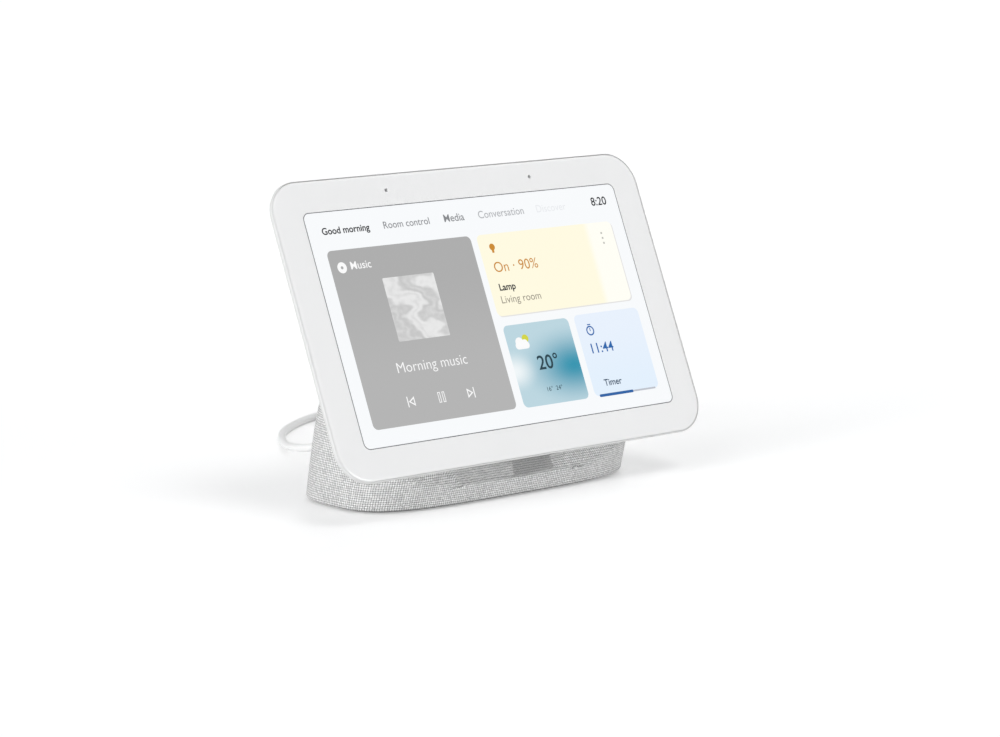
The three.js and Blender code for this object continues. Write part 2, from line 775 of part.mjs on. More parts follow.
const BLADE = { width: 6.35, thickness: 1.5, length: 17, spacing: 12.7, root: 3 };
function adapterBody() {
  const { width, length, height, corner } = ADAPTER;
  const bevel = 2;
  const shape = roundedShape(width - 2 * bevel, length - 2 * bevel, corner - bevel);
  const body = new THREE.ExtrudeGeometry(shape, {
    depth: height - 2 * bevel,
    bevelThickness: bevel,
    bevelSize: bevel,
    bevelSegments: 1,
    curveSegments: 3,
  }).translate(ADAPTER.x, ADAPTER.y, bevel);
  const side = ADAPTER.x - width / 2;
  const pockets = [-1, 1].map((sign) =>
    box(
      side,
      ADAPTER.y + (sign * BLADE.spacing) / 2,
      height / 2,
      2 * (BLADE.root + GAP),
      BLADE.thickness + 2 * GAP,
      BLADE.width + 2 * GAP,
    ),
  );
  return subtract(body, ...pockets);
}
mesh(cord, "power_adapter", adapterBody(), "plastic");
[-1, 1].forEach((sign, i) => {
  const middle = ADAPTER.x - ADAPTER.width / 2 + (BLADE.root - BLADE.length) / 2;
  const y = ADAPTER.y + (sign * BLADE.spacing) / 2;
  const blade = box(middle, y, ADAPTER.height / 2, BLADE.length + BLADE.root, BLADE.thickness, BLADE.width);
  mesh(cord, `adapter_blade_${i + 1}`, blade, "steel");
});

const smartDisplay = new THREE.Group();
smartDisplay.add(head, base, cord);
export default smartDisplay;
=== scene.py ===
import json
import math

import bmesh
import bpy
from mathutils import Matrix, Vector


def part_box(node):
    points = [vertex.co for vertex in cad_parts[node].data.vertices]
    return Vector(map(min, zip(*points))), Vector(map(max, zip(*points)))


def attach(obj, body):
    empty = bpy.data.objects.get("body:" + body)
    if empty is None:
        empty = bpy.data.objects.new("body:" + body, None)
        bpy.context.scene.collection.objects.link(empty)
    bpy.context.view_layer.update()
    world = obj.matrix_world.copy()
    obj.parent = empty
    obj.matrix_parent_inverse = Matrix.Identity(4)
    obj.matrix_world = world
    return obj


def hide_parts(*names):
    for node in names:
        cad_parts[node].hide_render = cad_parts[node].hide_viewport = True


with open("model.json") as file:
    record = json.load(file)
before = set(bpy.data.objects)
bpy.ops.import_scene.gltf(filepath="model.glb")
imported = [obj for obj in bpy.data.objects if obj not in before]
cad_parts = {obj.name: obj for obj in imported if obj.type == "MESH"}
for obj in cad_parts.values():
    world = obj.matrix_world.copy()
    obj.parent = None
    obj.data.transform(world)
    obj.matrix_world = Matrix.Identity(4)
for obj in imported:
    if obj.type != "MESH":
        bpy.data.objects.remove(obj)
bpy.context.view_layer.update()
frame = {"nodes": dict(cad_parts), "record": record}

bl_info = {
    "name": "Smart Display",
    "version": (1, 0, 0),
    "blender": (4, 5, 0),
    "location": "View3D > Sidebar > Smart Display",
    "description": "Builds a smart display on its fabric-covered speaker base, with its cord",
    "category": "Object",
}

MM = 0.001
TINY = 1e-6  # what two heights may differ by and still be the same
HOUSING = "housing"
PANEL_DEPTH = 1.4  # the panel's face behind the glass's face

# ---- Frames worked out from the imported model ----


def head_matrix():
    """Screen space, from the flat panel's node: X right, Y up the screen, Z out of the glass."""
    panel = frame["nodes"]["lcd_panel"].data
    facing = [p for p in panel.polygons if p.normal.y < -0.5 and p.normal.z > 0.1]
    out = facing[0].normal.normalized()
    corners = [panel.vertices[i].co for p in facing for i in p.vertices]
    centre = sum(corners, Vector()) / len(corners)
    right = Vector((1, 0, 0))
    up = out.cross(right).normalized()
    glass_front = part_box("front_glass")[0].y
    depth = PANEL_DEPTH * MM
    origin = Vector((0, centre.y, centre.z)) + out * depth
    assert glass_front < origin.y
    columns = Matrix((right, up, out)).transposed().to_4x4()
    return Matrix.Translation(origin) @ columns


HEAD = head_matrix()
SCREEN = {"width": 151.9, "height": 89.0, "radius": 2.8}
OUTLINE = {"width": 178.3, "height": 113.6, "radius": 13.2, "centre": 0.2, "depth": 10.0}
GLASS = {"inset": 0.5, "thickness": 1.1, "edge": 1.2, "edge_drop": 0.5}
COVER = {"recess": 0.36, "seat": 1.0, "seat_depth": 1.4, "ledge": 4.6, "ledge_depth": 2.0}
BASE = {"bottom": 1.0, "half_width": 66.5, "rear": 34.8, "front": -25.7, "top_depth": 10.3}
# Exponents of the base's plan, before and behind its middle.
SQUARENESS = {"front": 3.6, "rear": 3.2}
SWITCH = {"v": 47.0, "width": 13.0, "height": 4.8, "slider": 9.8, "gap": 0.3}
ROCKER = {"u": 76.7, "v": 12.0, "length": 26.0, "width": 5.0, "gap": 0.3}
JACK = {"z": 12.0, "face": 33.0, "bezel_outer": 6.0}
COIL = {"x": 50.0, "y": 118.0, "z": 1.0, "mean_radius": 18.6, "turns_per_layer": 2.75, "layers": 4}
COIL_ENTRY = 25.0  # degrees round the coil, anticlockwise from +X
RIB_DEPTH = 0.45
STRAP = {"width": 5.0, "thickness": 0.6, "radius": 3.2}
CAMERA = {
    "place": (-787.98, -928.49, 250.69),
    "azimuth": -40.806,
    "elevation": 9.579,
    "sensor": 36,
    "lens": 117.9,
}
FABRIC = {"columns": 200, "rows": 44, "top": 91, "thickness": 0.9}
ADAPTER = {"x": 71.5, "y": 62.0, "length": 44.0, "height": 27.0}
MIC = {"u": 35.1, "v": 50.4, "radius": 0.7}

# The cord's free stretch, from inside the plug's sleeve to the coil.
LEAD_ROUTE = [
    (0, 46, 12), (0, 50, 12), (0, 54.3, 12), (0, 56.4, 12), (-0.9, 60.2, 11.6),
    (-3.2, 63.7, 10.9), (-6.6, 66.2, 10), (-10.6, 68, 8.9), (-14.3, 70.2, 7.9),
    (-17.4, 73.2, 6.9), (-19.1, 77.2, 5.9), (-19, 83.4, 4.9), (-16.8, 91, 3.9),
    (-13.3, 98.8, 2.9), (-9, 106.3, 2.1), (-3.2, 115.4, 1.7), (1.9, 122.5, 1.65),
    (8.1, 129, 1.65), (16.1, 135.4, 1.65), (26.1, 141.9, 1.65), (34.2, 146.1, 1.65),
    (43, 149, 1.65), (52, 149.4, 1.65), (60, 147, 1.7), (66, 142, 1.8), (69.6, 135.2, 2.1),
]

# ---- Sizes and colours a user would change ----
class SmartDisplaySizes(bpy.types.PropertyGroup):
    """Sizes and colours of the finish."""

    cord_diameter: bpy.props.FloatProperty(
        name="Cord diameter",
        description="Outside diameter of the cord's jacket",
        default=3.2 * MM,
        unit="LENGTH",
    )
    cord_length: bpy.props.FloatProperty(
        name="Cord length",
        description="Real length of the cord from plug to adapter",
        default=1.5,
        unit="LENGTH",
    )
    yarn_pitch: bpy.props.FloatProperty(
        name="Yarn pitch",
        description="Distance from yarn to yarn in the base's fabric",
        default=0.86 * MM,
        unit="LENGTH",
    )
    hem_round: bpy.props.FloatProperty(
        name="Edge rounding",
        description="How far the fabric rounds over the edge under the head",
        default=0.9 * MM,
        unit="LENGTH",
    )
    plastic_colour: bpy.props.FloatVectorProperty(
        name="Plastic",
        description="Colour of the white housing",
        subtype="COLOR",
        size=3,
        default=(0.75, 0.75, 0.745),
    )
    border_colour: bpy.props.FloatVectorProperty(
        name="Glass border",
        description="Colour printed behind the glass round the screen",
        subtype="COLOR",
        size=3,
        default=(0.84, 0.84, 0.84),
    )
    yarn_light: bpy.props.FloatVectorProperty(
        name="Light yarn",
        description="Colour of the fabric's palest yarns",
        subtype="COLOR",
        size=3,
        default=(0.97, 0.97, 0.965),
    )
    yarn_dark: bpy.props.FloatVectorProperty(
        name="Dark yarn",
        description="Colour of the fabric's darkest yarns",
        subtype="COLOR",
        size=3,
        default=(0.74, 0.74, 0.74),
    )


def sizes():
    return bpy.context.scene.smart_display


# ---- Modelling helpers ----
def deselect():
    if bpy.context.object and bpy.context.object.mode != "OBJECT":
        bpy.ops.object.mode_set(mode="OBJECT")
    bpy.ops.object.select_all(action="DESELECT")


def only(piece):
    deselect()
    piece.select_set(True)
    bpy.context.view_layer.objects.active = piece


def new_piece(name):
    """The primitive just added, named, with its own mesh name."""
    piece = bpy.context.object
    piece.name = name
    piece.data.name = name
    return piece


def edit(piece, kind="FACE"):
    only(piece)
    bpy.ops.object.mode_set(mode="EDIT")
    bpy.ops.mesh.select_mode(type=kind)


def done():
    bpy.ops.object.mode_set(mode="OBJECT")


def everything():
    bpy.ops.mesh.select_all(action="SELECT")


def extrude(height):
    """Extrudes what is selected along Z, in millimetres."""
    bpy.ops.mesh.extrude_region_move(TRANSFORM_OT_translate={"value": (0, 0, height * MM)})


def inset(width, lift=0):
    """Insets the selected faces and lifts them, in millimetres."""
    bpy.ops.mesh.inset(thickness=width * MM, depth=lift * MM)


def bevel(width, segments, affect="EDGES"):
    bpy.ops.mesh.bevel(offset=width * MM, segments=segments, affect=affect)


def close_solid():
    """Turns every face outwards and leaves edit mode."""
    everything()
    bpy.ops.mesh.normals_make_consistent(inside=False)
    done()


def pick(piece, verts=None, edges=None, faces=None):
    """In edit mode, selects what passes a test and nothing else. Returns how many."""
    mesh = bmesh.from_edit_mesh(piece.data)
    for item in (*mesh.verts, *mesh.edges, *mesh.faces):
        item.select = False
    tests = ((verts, mesh.verts), (edges, mesh.edges), (faces, mesh.faces))
    found = [item for test, items in tests if test for item in items if test(item)]
    for item in found:
        item.select_set(True)
    mesh.select_flush_mode()
    bmesh.update_edit_mesh(piece.data)
    return len(found)


def modifier(piece, kind, **settings):
    """Adds a modifier, sets it and applies it."""
    only(piece)
    made = piece.modifiers.new(kind.title(), kind)
    for key, value in settings.items():
        setattr(made, key, value)
    bpy.ops.object.modifier_apply(modifier=made.name)


def cut(piece, cutter, operation="DIFFERENCE"):
    modifier(piece, "BOOLEAN", operation=operation, object=cutter, solver="EXACT")
    bpy.data.objects.remove(cutter)


def drill(piece, vertices, radius, depth, **place_and_turn):
    """Cuts a round hole. The radius and the depth are in millimetres."""
    deselect()
    bpy.ops.mesh.primitive_cylinder_add(
        vertices=vertices, radius=radius * MM, depth=depth * MM, **place_and_turn
    )
    cut(piece, bpy.context.object)


def smooth(piece, degrees=35):
    only(piece)
    bpy.ops.object.shade_smooth_by_angle(angle=math.radians(degrees))


def place(piece, matrix):
    """Moves a piece's mesh, and leaves its object at the origin."""
    piece.data.transform(matrix)
    piece.data.update()


def finish(piece, slot, *replaces, body=HOUSING, look=None):
    """Gives a piece the material of its slot and its body, and hides the CAD nodes that it stands
    for.
    """
    look = look or material(slot)
    piece.data.materials.clear()
    piece.data.materials.append(look)
    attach(piece, body)
    if replaces:
        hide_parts(*replaces)
    return piece


def outline_face(name, width, height, radius, segments=12, x=0.0, y=0.0, z=0.0):
    """A flat rounded rectangle, in millimetres."""
    deselect()
    bpy.ops.mesh.primitive_plane_add(size=1)
    piece = new_piece(name)
    edit(piece, "VERT")
    everything()
    bpy.ops.transform.resize(value=(width * MM, height * MM, 1))
    bpy.ops.transform.translate(value=(x * MM, y * MM, z * MM))
    if radius:
        bevel(radius, segments, "VERTICES")
    done()
    return piece


def slab(name, width, height, radius, low, high, x=0.0, y=0.0, segments=8):
    """A rounded plate between two heights."""
    piece = outline_face(name, width, height, radius, segments, x, y, low)
    edit(piece)
    everything()
    extrude(high - low)
    close_solid()
    return piece


def turn_skin(name, profile, segments, kind="FACE", **fill):
    """Skins (radius, height) points about Z, from a ring or disc, and stays in edit mode."""
    deselect()
    bpy.ops.mesh.primitive_circle_add(vertices=segments, radius=profile[0][0] * MM, **fill)
    piece = new_piece(name)
    edit(piece, kind)
    everything()
    bpy.ops.transform.translate(value=(0, 0, profile[0][1] * MM))
    for (r, z), (next_r, next_z) in zip(profile, profile[1:]):
        extrude(next_z - z)
        scale = next_r / r
        bpy.ops.transform.resize(value=(scale, scale, 1), center_override=(0, 0, next_z * MM))
    return piece


def turned(name, profile, segments):
    """A closed solid of revolution about Z from (radius, height) points."""
    piece = turn_skin(name, profile, segments, fill_type="NGON")
    close_solid()
    return piece


def ribs(start, pitch, count, widest, taper):
    """Profile points of a ribbed sleeve that grows thinner."""
    found = []
    for i in range(count):
        y = start + i * pitch
        r = widest - taper * i / count
        found += [(r, y), (r, y + 0.45 * pitch)]
        found += [(r - RIB_DEPTH, y + 0.55 * pitch), (r - RIB_DEPTH, y + 0.9 * pitch)]
    return found


def round_edges(piece, width, segments, test):
    edit(piece, "EDGE")
    if pick(piece, edges=test):
        bevel(width, segments)
    done()


def sharp(edge, degrees=50):
    return len(edge.link_faces) == 2 and edge.calc_face_angle(0) > math.radians(degrees)


def bezier(points, steps):
    """Points along a cubic Bezier curve of (a, b) pairs."""
    found = []
    for i in range(steps + 1):
        t = i / steps
        weights = ((1 - t) ** 3, 3 * t * (1 - t) ** 2, 3 * t * t * (1 - t), t**3)
        found.append(tuple(sum(w * p[k] for w, p in zip(weights, points)) for k in range(2)))
    return found


# ---- Shader helpers ----
class Value:
    """A number socket in a shader tree. Arithmetic on it adds Math nodes."""

    def __init__(self, shader, socket):
        self.shader = shader
        self.socket = socket

    def math(self, operation, *others):
        return self.shader.math(operation, self, *others)

    def __rsub__(self, other):
        return self.shader.math("SUBTRACT", other, self)


def arithmetic(operation):
    return lambda self, other: self.math(operation, other)


Value.__add__ = Value.__radd__ = arithmetic("ADD")
Value.__mul__ = Value.__rmul__ = arithmetic("MULTIPLY")
Value.__sub__ = arithmetic("SUBTRACT")
Value.__truediv__ = arithmetic("DIVIDE")
Value.__pow__ = arithmetic("POWER")
Value.__gt__ = arithmetic("GREATER_THAN")
Value.__lt__ = arithmetic("LESS_THAN")


class Shader:
    """A node material built by calls."""

    def __init__(self, name):
        self.material = bpy.data.materials.new(name)
        self.material.use_nodes = True
        self.tree = self.material.node_tree
        self.surface = self.tree.nodes["Principled BSDF"]

    def node(self, kind, settings=None, inputs=None):
        made = self.tree.nodes.new(kind)
        for key, value in (settings or {}).items():
            setattr(made, key, value)
        for key, value in (inputs or {}).items():
            self.feed(made.inputs[key], value)
        return made

    def feed(self, socket, value):
        if isinstance(value, Value):
            value = value.socket
        if isinstance(value, bpy.types.NodeSocket):
            self.tree.links.new(value, socket)
        elif isinstance(value, (tuple, list)) and socket.type == "RGBA":
            socket.default_value = (*value[:3], 1)
        else:
            socket.default_value = value

    def math(self, operation, *values):
        made = self.node("ShaderNodeMath", {"operation": operation})
        for socket, value in zip(made.inputs, values):
            self.feed(socket, value)
        return Value(self, made.outputs[0])

    def value(self, node, output=0):
        return Value(self, node.outputs[output])

    def coordinates(self, scale=(1, 1, 1), location=(0, 0, 0), rotation=(0, 0, 0)):
        source = self.node("ShaderNodeTexCoord").outputs["Object"]
        settings = {"Vector": source, "Scale": scale, "Location": location, "Rotation": rotation}
        return self.node("ShaderNodeMapping", None, settings).outputs["Vector"]

    def noise(self, vector, scale, detail=2.0, roughness=0.5):
        inputs = {"Vector": vector, "Scale": scale, "Detail": detail, "Roughness": roughness}
        return self.value(self.node("ShaderNodeTexNoise", None, inputs), "Fac")

    def random(self, *numbers):
        vector = self.combine(*numbers)
        made = self.node("ShaderNodeTexWhiteNoise", {"noise_dimensions": "3D"}, {"Vector": vector})
        return self.value(made, "Value")

    def combine(self, x, y, z=0.0):
        return self.node("ShaderNodeCombineXYZ", None, {"X": x, "Y": y, "Z": z}).outputs[0]

    def split(self, vector):
        made = self.node("ShaderNodeSeparateXYZ", None, {"Vector": vector})
        return [Value(self, made.outputs[i]) for i in range(3)]

    def mix(self, factor, first, second):
        made = self.node("ShaderNodeMix", {"data_type": "RGBA", "clamp_factor": True})
        self.feed(made.inputs[0], factor)
        self.feed(made.inputs[6], first)
        self.feed(made.inputs[7], second)
        return made.outputs[2]

    def ramp(self, value, low, high):
        inputs = {"Value": value, "From Min": low, "From Max": high}
        smooth_step = {"interpolation_type": "SMOOTHSTEP"}
        return self.value(self.node("ShaderNodeMapRange", smooth_step, inputs))

    def bump(self, height, distance, strength=1.0, normal=None):
        inputs = {"Height": height, "Distance": distance, "Strength": strength}
        if normal:
            inputs["Normal"] = normal
        return self.node("ShaderNodeBump", None, inputs).outputs["Normal"]

    def set(self, **sockets):
        for key, value in sockets.items():
            self.feed(self.surface.inputs[key.replace("_", " ")], value)
        return self.material


def shade(colour, factor):
    return tuple(c * factor for c in colour)


def moulded_plastic(name, colour, roughness=0.45, grain=0.16, depth=0.006):
    """Fine-textured moulded plastic: grain size and depth in millimetres."""
    shader = Shader(name)
    where = shader.coordinates()
    fine = shader.noise(where, 1 / (grain * MM), 2.0, 0.6)
    broad = shader.noise(where, 45.0, 3.0)
    tone = broad * 0.6 + fine * 0.4
    return shader.set(
        Base_Color=shader.mix(tone, shade(colour, 0.965), shade(colour, 1.02)),
        Roughness=fine * 0.12 + broad * 0.06 + (roughness - 0.09),
        Normal=shader.bump(fine, depth * MM, 0.6),
        IOR=1.5,
    )


def printed_glass(name, colour):
    """Clear glass over a white print: glossy, with faint smears in the gloss."""
    shader = Shader(name)
    where = shader.coordinates()
    smear = shader.noise(where, 28.0, 4.0, 0.6)
    speck = shader.noise(where, 900.0, 1.0)
    return shader.set(
        Base_Color=shader.mix(smear, shade(colour, 0.99), shade(colour, 1.01)),
        Roughness=smear * 0.05 + speck * 0.02 + 0.12,
        Normal=shader.bump(smear, 0.02 * MM, 0.2),
        IOR=1.5,
        Coat_Weight=0.35,
        Coat_Roughness=0.05,
    )


def lit_pixels(name, colour, *layers):
    """A patch of the lit screen. A layer is a colour and a factor of (u, v) in millimetres."""
    shader = Shader(name)
    inverse = HEAD.inverted()
    euler = inverse.to_euler()
    where = shader.coordinates(rotation=tuple(euler), location=tuple(inverse.translation))
    u, v, _ = shader.split(where)
    u, v = u / MM, v / MM
    pitch = SCREEN["width"] / 1024
    grid = (u * (2 * math.pi / pitch)).math("SINE") * (v * (2 * math.pi / pitch)).math("SINE")
    tone = colour
    for second, blend in layers:
        tone = shader.mix(blend(shader, u, v), tone, second)
    flat = shader.mix(grid * 0.012 + 0.012, tone, (0, 0, 0))
    return shader.set(
        Base_Color=(0.01, 0.01, 0.01),
        Emission_Color=flat,
        Emission_Strength=1.0,
        Roughness=grid * 0.01 + 0.13,
        IOR=1.5,
        Specular_IOR_Level=0.35,
    )


def woven_fabric(name, light, dark):
    """Plain weave of marled yarns. The UV map counts yarns: U over the warp, V over the weft."""
    shader = Shader(name)
    source = shader.node("ShaderNodeUVMap", {"uv_map": "weave"}).outputs[0]
    blur = {"Vector": source, "Scale": 0.35, "Detail": 2.0}
    wobble = shader.node("ShaderNodeTexNoise", None, blur).outputs["Color"]
    shift = shader.node(
        "ShaderNodeVectorMath",
        {"operation": "MULTIPLY_ADD"},
        {0: wobble, 1: (0.5, 0.5, 0), 2: source},
    ).outputs[0]
    u, v, _ = shader.split(shift)
    wave_u, wave_v = (u * math.pi).math("SINE"), (v * math.pi).math("SINE")
    warp_over = (wave_u * wave_v) > 0.0
    ridge_u, ridge_v = wave_u.math("ABSOLUTE"), wave_v.math("ABSOLUTE")
    warp = ridge_u**0.9 * ridge_v**0.4
    weft = ridge_v**0.9 * ridge_u**0.4
    height = warp * warp_over + weft * (1 - warp_over)
    column, row = u.math("FLOOR"), v.math("FLOOR")
    warp_run = shader.random(column, (v * 0.21).math("FLOOR"), 3.0)
    warp_tone = warp_run * 0.5 + shader.random(column, 0.0, 5.0) * 0.5
    weft_tone = shader.random(row, (u * 0.4).math("FLOOR"), 7.0)
    yarn = warp_tone * warp_over + weft_tone * (1 - warp_over)
    stitch = shader.random(column, row, 11.0)
    fibre = shader.noise(shader.coordinates(), 5200.0, 2.0, 0.7)
    mottle = shader.noise(source, 0.07, 3.0, 0.6)
    tone = yarn * 0.36 + stitch * 0.36 + fibre * 0.14 + mottle * 0.14
    body = shader.mix(shader.ramp(tone, 0.22, 0.66), dark, light)
    # Painted shade: down in the hollows between the yarns the colour falls to a third of the dark
    # yarn's, where shade falls between them.
    hollow = shader.ramp(height, 0.05, 0.62)
    return shader.set(
        Base_Color=shader.mix(hollow, shade(dark, 0.3), body),
        Roughness=fibre * 0.1 + 0.86,
        Normal=shader.bump(height + fibre * 0.12, 0.26 * MM, 0.9),
        Specular_IOR_Level=0.25,
        Sheen_Weight=0.25,
        Sheen_Roughness=0.5,
    )


def soft_rubber(name, colour):
    shader = Shader(name)
    where = shader.coordinates()
    grain = shader.noise(where, 2600.0, 3.0, 0.7)
    wear = shader.noise(where, 60.0, 3.0)
    return shader.set(
        Base_Color=shader.mix(wear, shade(colour, 0.9), shade(colour, 1.06)),
        Roughness=grain * 0.15 + 0.68,
        Normal=shader.bump(grain, 0.03 * MM, 0.6),
    )


def plated_metal(name, colour, roughness=0.25):
    shader = Shader(name)
    where = shader.coordinates()
    scratch = shader.noise(shader.coordinates(scale=(200, 3000, 3000)), 1.0, 4.0, 0.7)
    cloud = shader.noise(where, 150.0, 3.0)
    return shader.set(
        Base_Color=shader.mix(cloud, shade(colour, 0.9), colour),
        Metallic=cloud * 0.05 + 0.95,
        Roughness=scratch * 0.18 + (roughness - 0.06),
        Normal=shader.bump(scratch, 0.01 * MM, 0.5),
    )


def circuit_board(name):
    """Green solder mask with copper runs under it and pale pads."""
    shader = Shader(name)
    where = shader.coordinates(scale=(420, 420, 420))
    kind = {"feature": "F1", "distance": "CHEBYCHEV"}
    lanes = shader.node("ShaderNodeTexVoronoi", kind, {"Vector": where, "Scale": 0.6})
    near = shader.value(lanes, "Distance")
    runs = shader.ramp(near, 0.28, 0.34)
    pads = near < 0.12
    mask = shader.mix(runs, (0.03, 0.20, 0.10), (0.015, 0.13, 0.065))
    return shader.set(
        Base_Color=shader.mix(pads, mask, (0.75, 0.72, 0.62)),
        Roughness=pads * -0.15 + 0.42,
        Metallic=pads * 0.8,
        Normal=shader.bump(runs, 0.02 * MM, 0.5),
    )


def pressed_paper(name, colour):
    shader = Shader(name)
    where = shader.coordinates()
    pulp = shader.noise(where, 1800.0, 5.0, 0.7)
    return shader.set(
        Base_Color=shader.mix(pulp, shade(colour, 0.7), shade(colour, 1.3)),
        Roughness=pulp * 0.2 + 0.75,
        Normal=shader.bump(pulp, 0.05 * MM, 0.7),
    )


def thin_film(name, colour):
    shader = Shader(name)
    lines = (shader.split(shader.coordinates())[0] * 5200.0).math("SINE")
    copper = shader.ramp(lines, 0.1, 0.4)
    return shader.set(
        Base_Color=shader.mix(copper, colour, shade(colour, 0.55)),
        Roughness=copper * 0.1 + 0.28,
        Normal=shader.bump(copper, 0.02 * MM, 0.4),
    )


def cord_jacket(name, colour):
    """Soft matt jacket, slightly orange-peeled."""
    shader = Shader(name)
    where = shader.coordinates()
    peel = shader.noise(where, 900.0, 2.0)
    smudge = shader.noise(where, 70.0, 3.0)
    return shader.set(
        Base_Color=shader.mix(smudge, shade(colour, 0.955), shade(colour, 1.02)),
        Roughness=peel * 0.08 + smudge * 0.08 + 0.36,
        Normal=shader.bump(peel, 0.02 * MM, 0.4),
    )


def hook_and_loop(name, colour):
    shader = Shader(name)
    where = shader.coordinates(scale=(2400, 2400, 2400))
    loops = shader.node("ShaderNodeTexVoronoi", {"feature": "F1"}, {"Vector": where, "Scale": 1.0})
    pile = shader.value(loops, "Distance")
    return shader.set(
        Base_Color=shader.mix(pile, shade(colour, 1.15), shade(colour, 0.55)),
        Roughness=pile * 0.1 + 0.85,
        Normal=shader.bump(pile, 0.12 * MM, 0.9),
    )


_materials = {}


def material(name):
    """Each finish, made once."""
    finish_of, black = sizes(), (0.03, 0.03, 0.033)
    made = {
        "plastic": lambda: moulded_plastic("white_plastic", tuple(finish_of.plastic_colour)),
        "dark_plastic": lambda: moulded_plastic("dark_plastic", black, 0.5, 0.3, 0.01),
        "glass": lambda: printed_glass("printed_glass", tuple(finish_of.border_colour)),
        "fabric": lambda: woven_fabric(
            "woven_fabric", tuple(finish_of.yarn_light), tuple(finish_of.yarn_dark)
        ),
        "rubber": lambda: soft_rubber("foot_rubber", (0.32, 0.32, 0.32)),
        "foam": lambda: soft_rubber("black_foam", black),
        "steel": lambda: plated_metal("zinc_steel", (0.55, 0.56, 0.57), 0.38),
        "plug_metal": lambda: plated_metal("nickel", (0.72, 0.70, 0.66), 0.22),
        "foil": lambda: plated_metal("shield_tin", (0.74, 0.75, 0.76), 0.3),
        "circuit_board": lambda: circuit_board("circuit_board"),
        "flex_film": lambda: thin_film("amber_film", (0.50, 0.24, 0.05)),
        "paper_cone": lambda: pressed_paper("cone_paper", (0.09, 0.08, 0.07)),
        "cord_white": lambda: cord_jacket("cord_jacket", (0.94, 0.94, 0.935)),
        "tie_grey": lambda: hook_and_loop("cord_tie_pile", (0.35, 0.35, 0.36)),
    }
    if name not in _materials:
        _materials[name] = made[name]()
    return _materials[name]


# ---- Cord ----
def catmull(points, step):
    """A centripetal Catmull-Rom curve through points, about one step apart."""
    points = [Vector(p) for p in points]
    first, last = 2 * points[0] - points[1], 2 * points[-1] - points[-2]
    padded = [first, *points, last]
    found = []
    for a, b, c, d in zip(padded, padded[1:], padded[2:], padded[3:]):
        knots = [0.0]
        for p, q in ((a, b), (b, c), (c, d)):
            knots.append(knots[-1] + math.sqrt((q - p).length))
        count = max(2, round((c - b).length / step))
        for i in range(count):
            t = knots[1] + (knots[2] - knots[1]) * i / count
            ab = a.lerp(b, (t - knots[0]) / (knots[1] - knots[0]))
            bc = b.lerp(c, (t - knots[1]) / (knots[2] - knots[1]))
            cd = c.lerp(d, (t - knots[2]) / (knots[3] - knots[2]))
            abc = ab.lerp(bc, (t - knots[0]) / (knots[2] - knots[0]))
            bcd = bc.lerp(cd, (t - knots[1]) / (knots[3] - knots[1]))
            found.append(abc.lerp(bcd, (t - knots[1]) / (knots[2] - knots[1])))
    found.append(points[-1])
    return found


def round_coil(radius, angle, height):
    return COIL["x"] + radius * math.cos(angle), COIL["y"] + radius * math.sin(angle), height


def coil_points(diameter):
    """The turns, clockwise from the entry: each layer spirals in or out, on top of the last."""
    span = COIL["turns_per_layer"] * diameter
    outer, inner = COIL["mean_radius"] + span / 2, COIL["mean_radius"] - span / 2
    per_turn, climb = 40, 0.2
    steps = round(COIL["turns_per_layer"] * per_turn)
    found = []
    for layer in range(COIL["layers"]):
        low, high = (outer, inner) if layer % 2 == 0 else (inner, outer)
        for i in range(steps):
            turn = i / per_turn
            share = turn / COIL["turns_per_layer"]
            lift = 1.0 if layer == 0 else min(1.0, turn / climb)
            lift = lift * lift * (3 - 2 * lift)
            wound = layer * COIL["turns_per_layer"] + turn
            angle = math.radians(COIL_ENTRY) - 2 * math.pi * wound
            radius = low + (high - low) * share
            found.append(round_coil(radius, angle, COIL["z"] + diameter * (layer + lift - 0.5)))
    top = COIL["z"] + diameter * (COIL["layers"] - 0.5)
    for i in range(5):
        found.append(round_coil(outer, math.radians(COIL_ENTRY * (1 - i / 5)), top))
    return found


def cord_route(diameter):
    relief = ADAPTER["y"] + ADAPTER["length"] / 2 + 6
    middle = ADAPTER["height"] / 2
    x = ADAPTER["x"]
    tail = [(72.9, 115.5, 12.3), (x + 1.1, 105, 12.6), (x + 0.2, 100, 13.2)]
    tail += [(x, 96, middle), (x, relief, middle)]
    coil = coil_points(diameter)
    lead = catmull([*LEAD_ROUTE, coil[0]], 2.5)
    return [*lead, *coil[1:], *catmull(tail, 2.5)]


class SMARTDISPLAY_OT_camera(bpy.types.Operator):
    """Adds the camera at the standard viewing angle"""

    bl_idname = "smart_display.camera"
    bl_label = "Camera"

    def execute(self, context):
        azimuth, elevation = math.radians(CAMERA["azimuth"]), math.radians(CAMERA["elevation"])
        deselect()
        bpy.ops.object.camera_add(
            location=[c * MM for c in CAMERA["place"]],
            rotation=(math.pi / 2 - elevation, 0, azimuth),
        )
        camera = context.object
        camera.name = "camera"
        camera.data.sensor_width = CAMERA["sensor"]
        camera.data.lens = CAMERA["lens"]
        context.scene.camera = camera
        return {"FINISHED"}


def lay_cord():
    diameter = sizes().cord_diameter / MM
    route = cord_route(diameter)
    data = bpy.data.curves.new("power_cord", "CURVE")
    data.dimensions = "3D"
    data.bevel_depth = sizes().cord_diameter / 2
    data.bevel_resolution = 4
    data.use_fill_caps = True
    line = data.splines.new("POLY")
    line.points.add(len(route) - 1)
    for point, place_mm in zip(line.points, route):
        point.co = (*(c * MM for c in place_mm), 1)
    line.use_smooth = True
    piece = bpy.data.objects.new("power_cord", data)
    bpy.context.scene.collection.objects.link(piece)
    return finish(piece, "cord_white", "cord_lead", "cord_coil", "cord_tail")


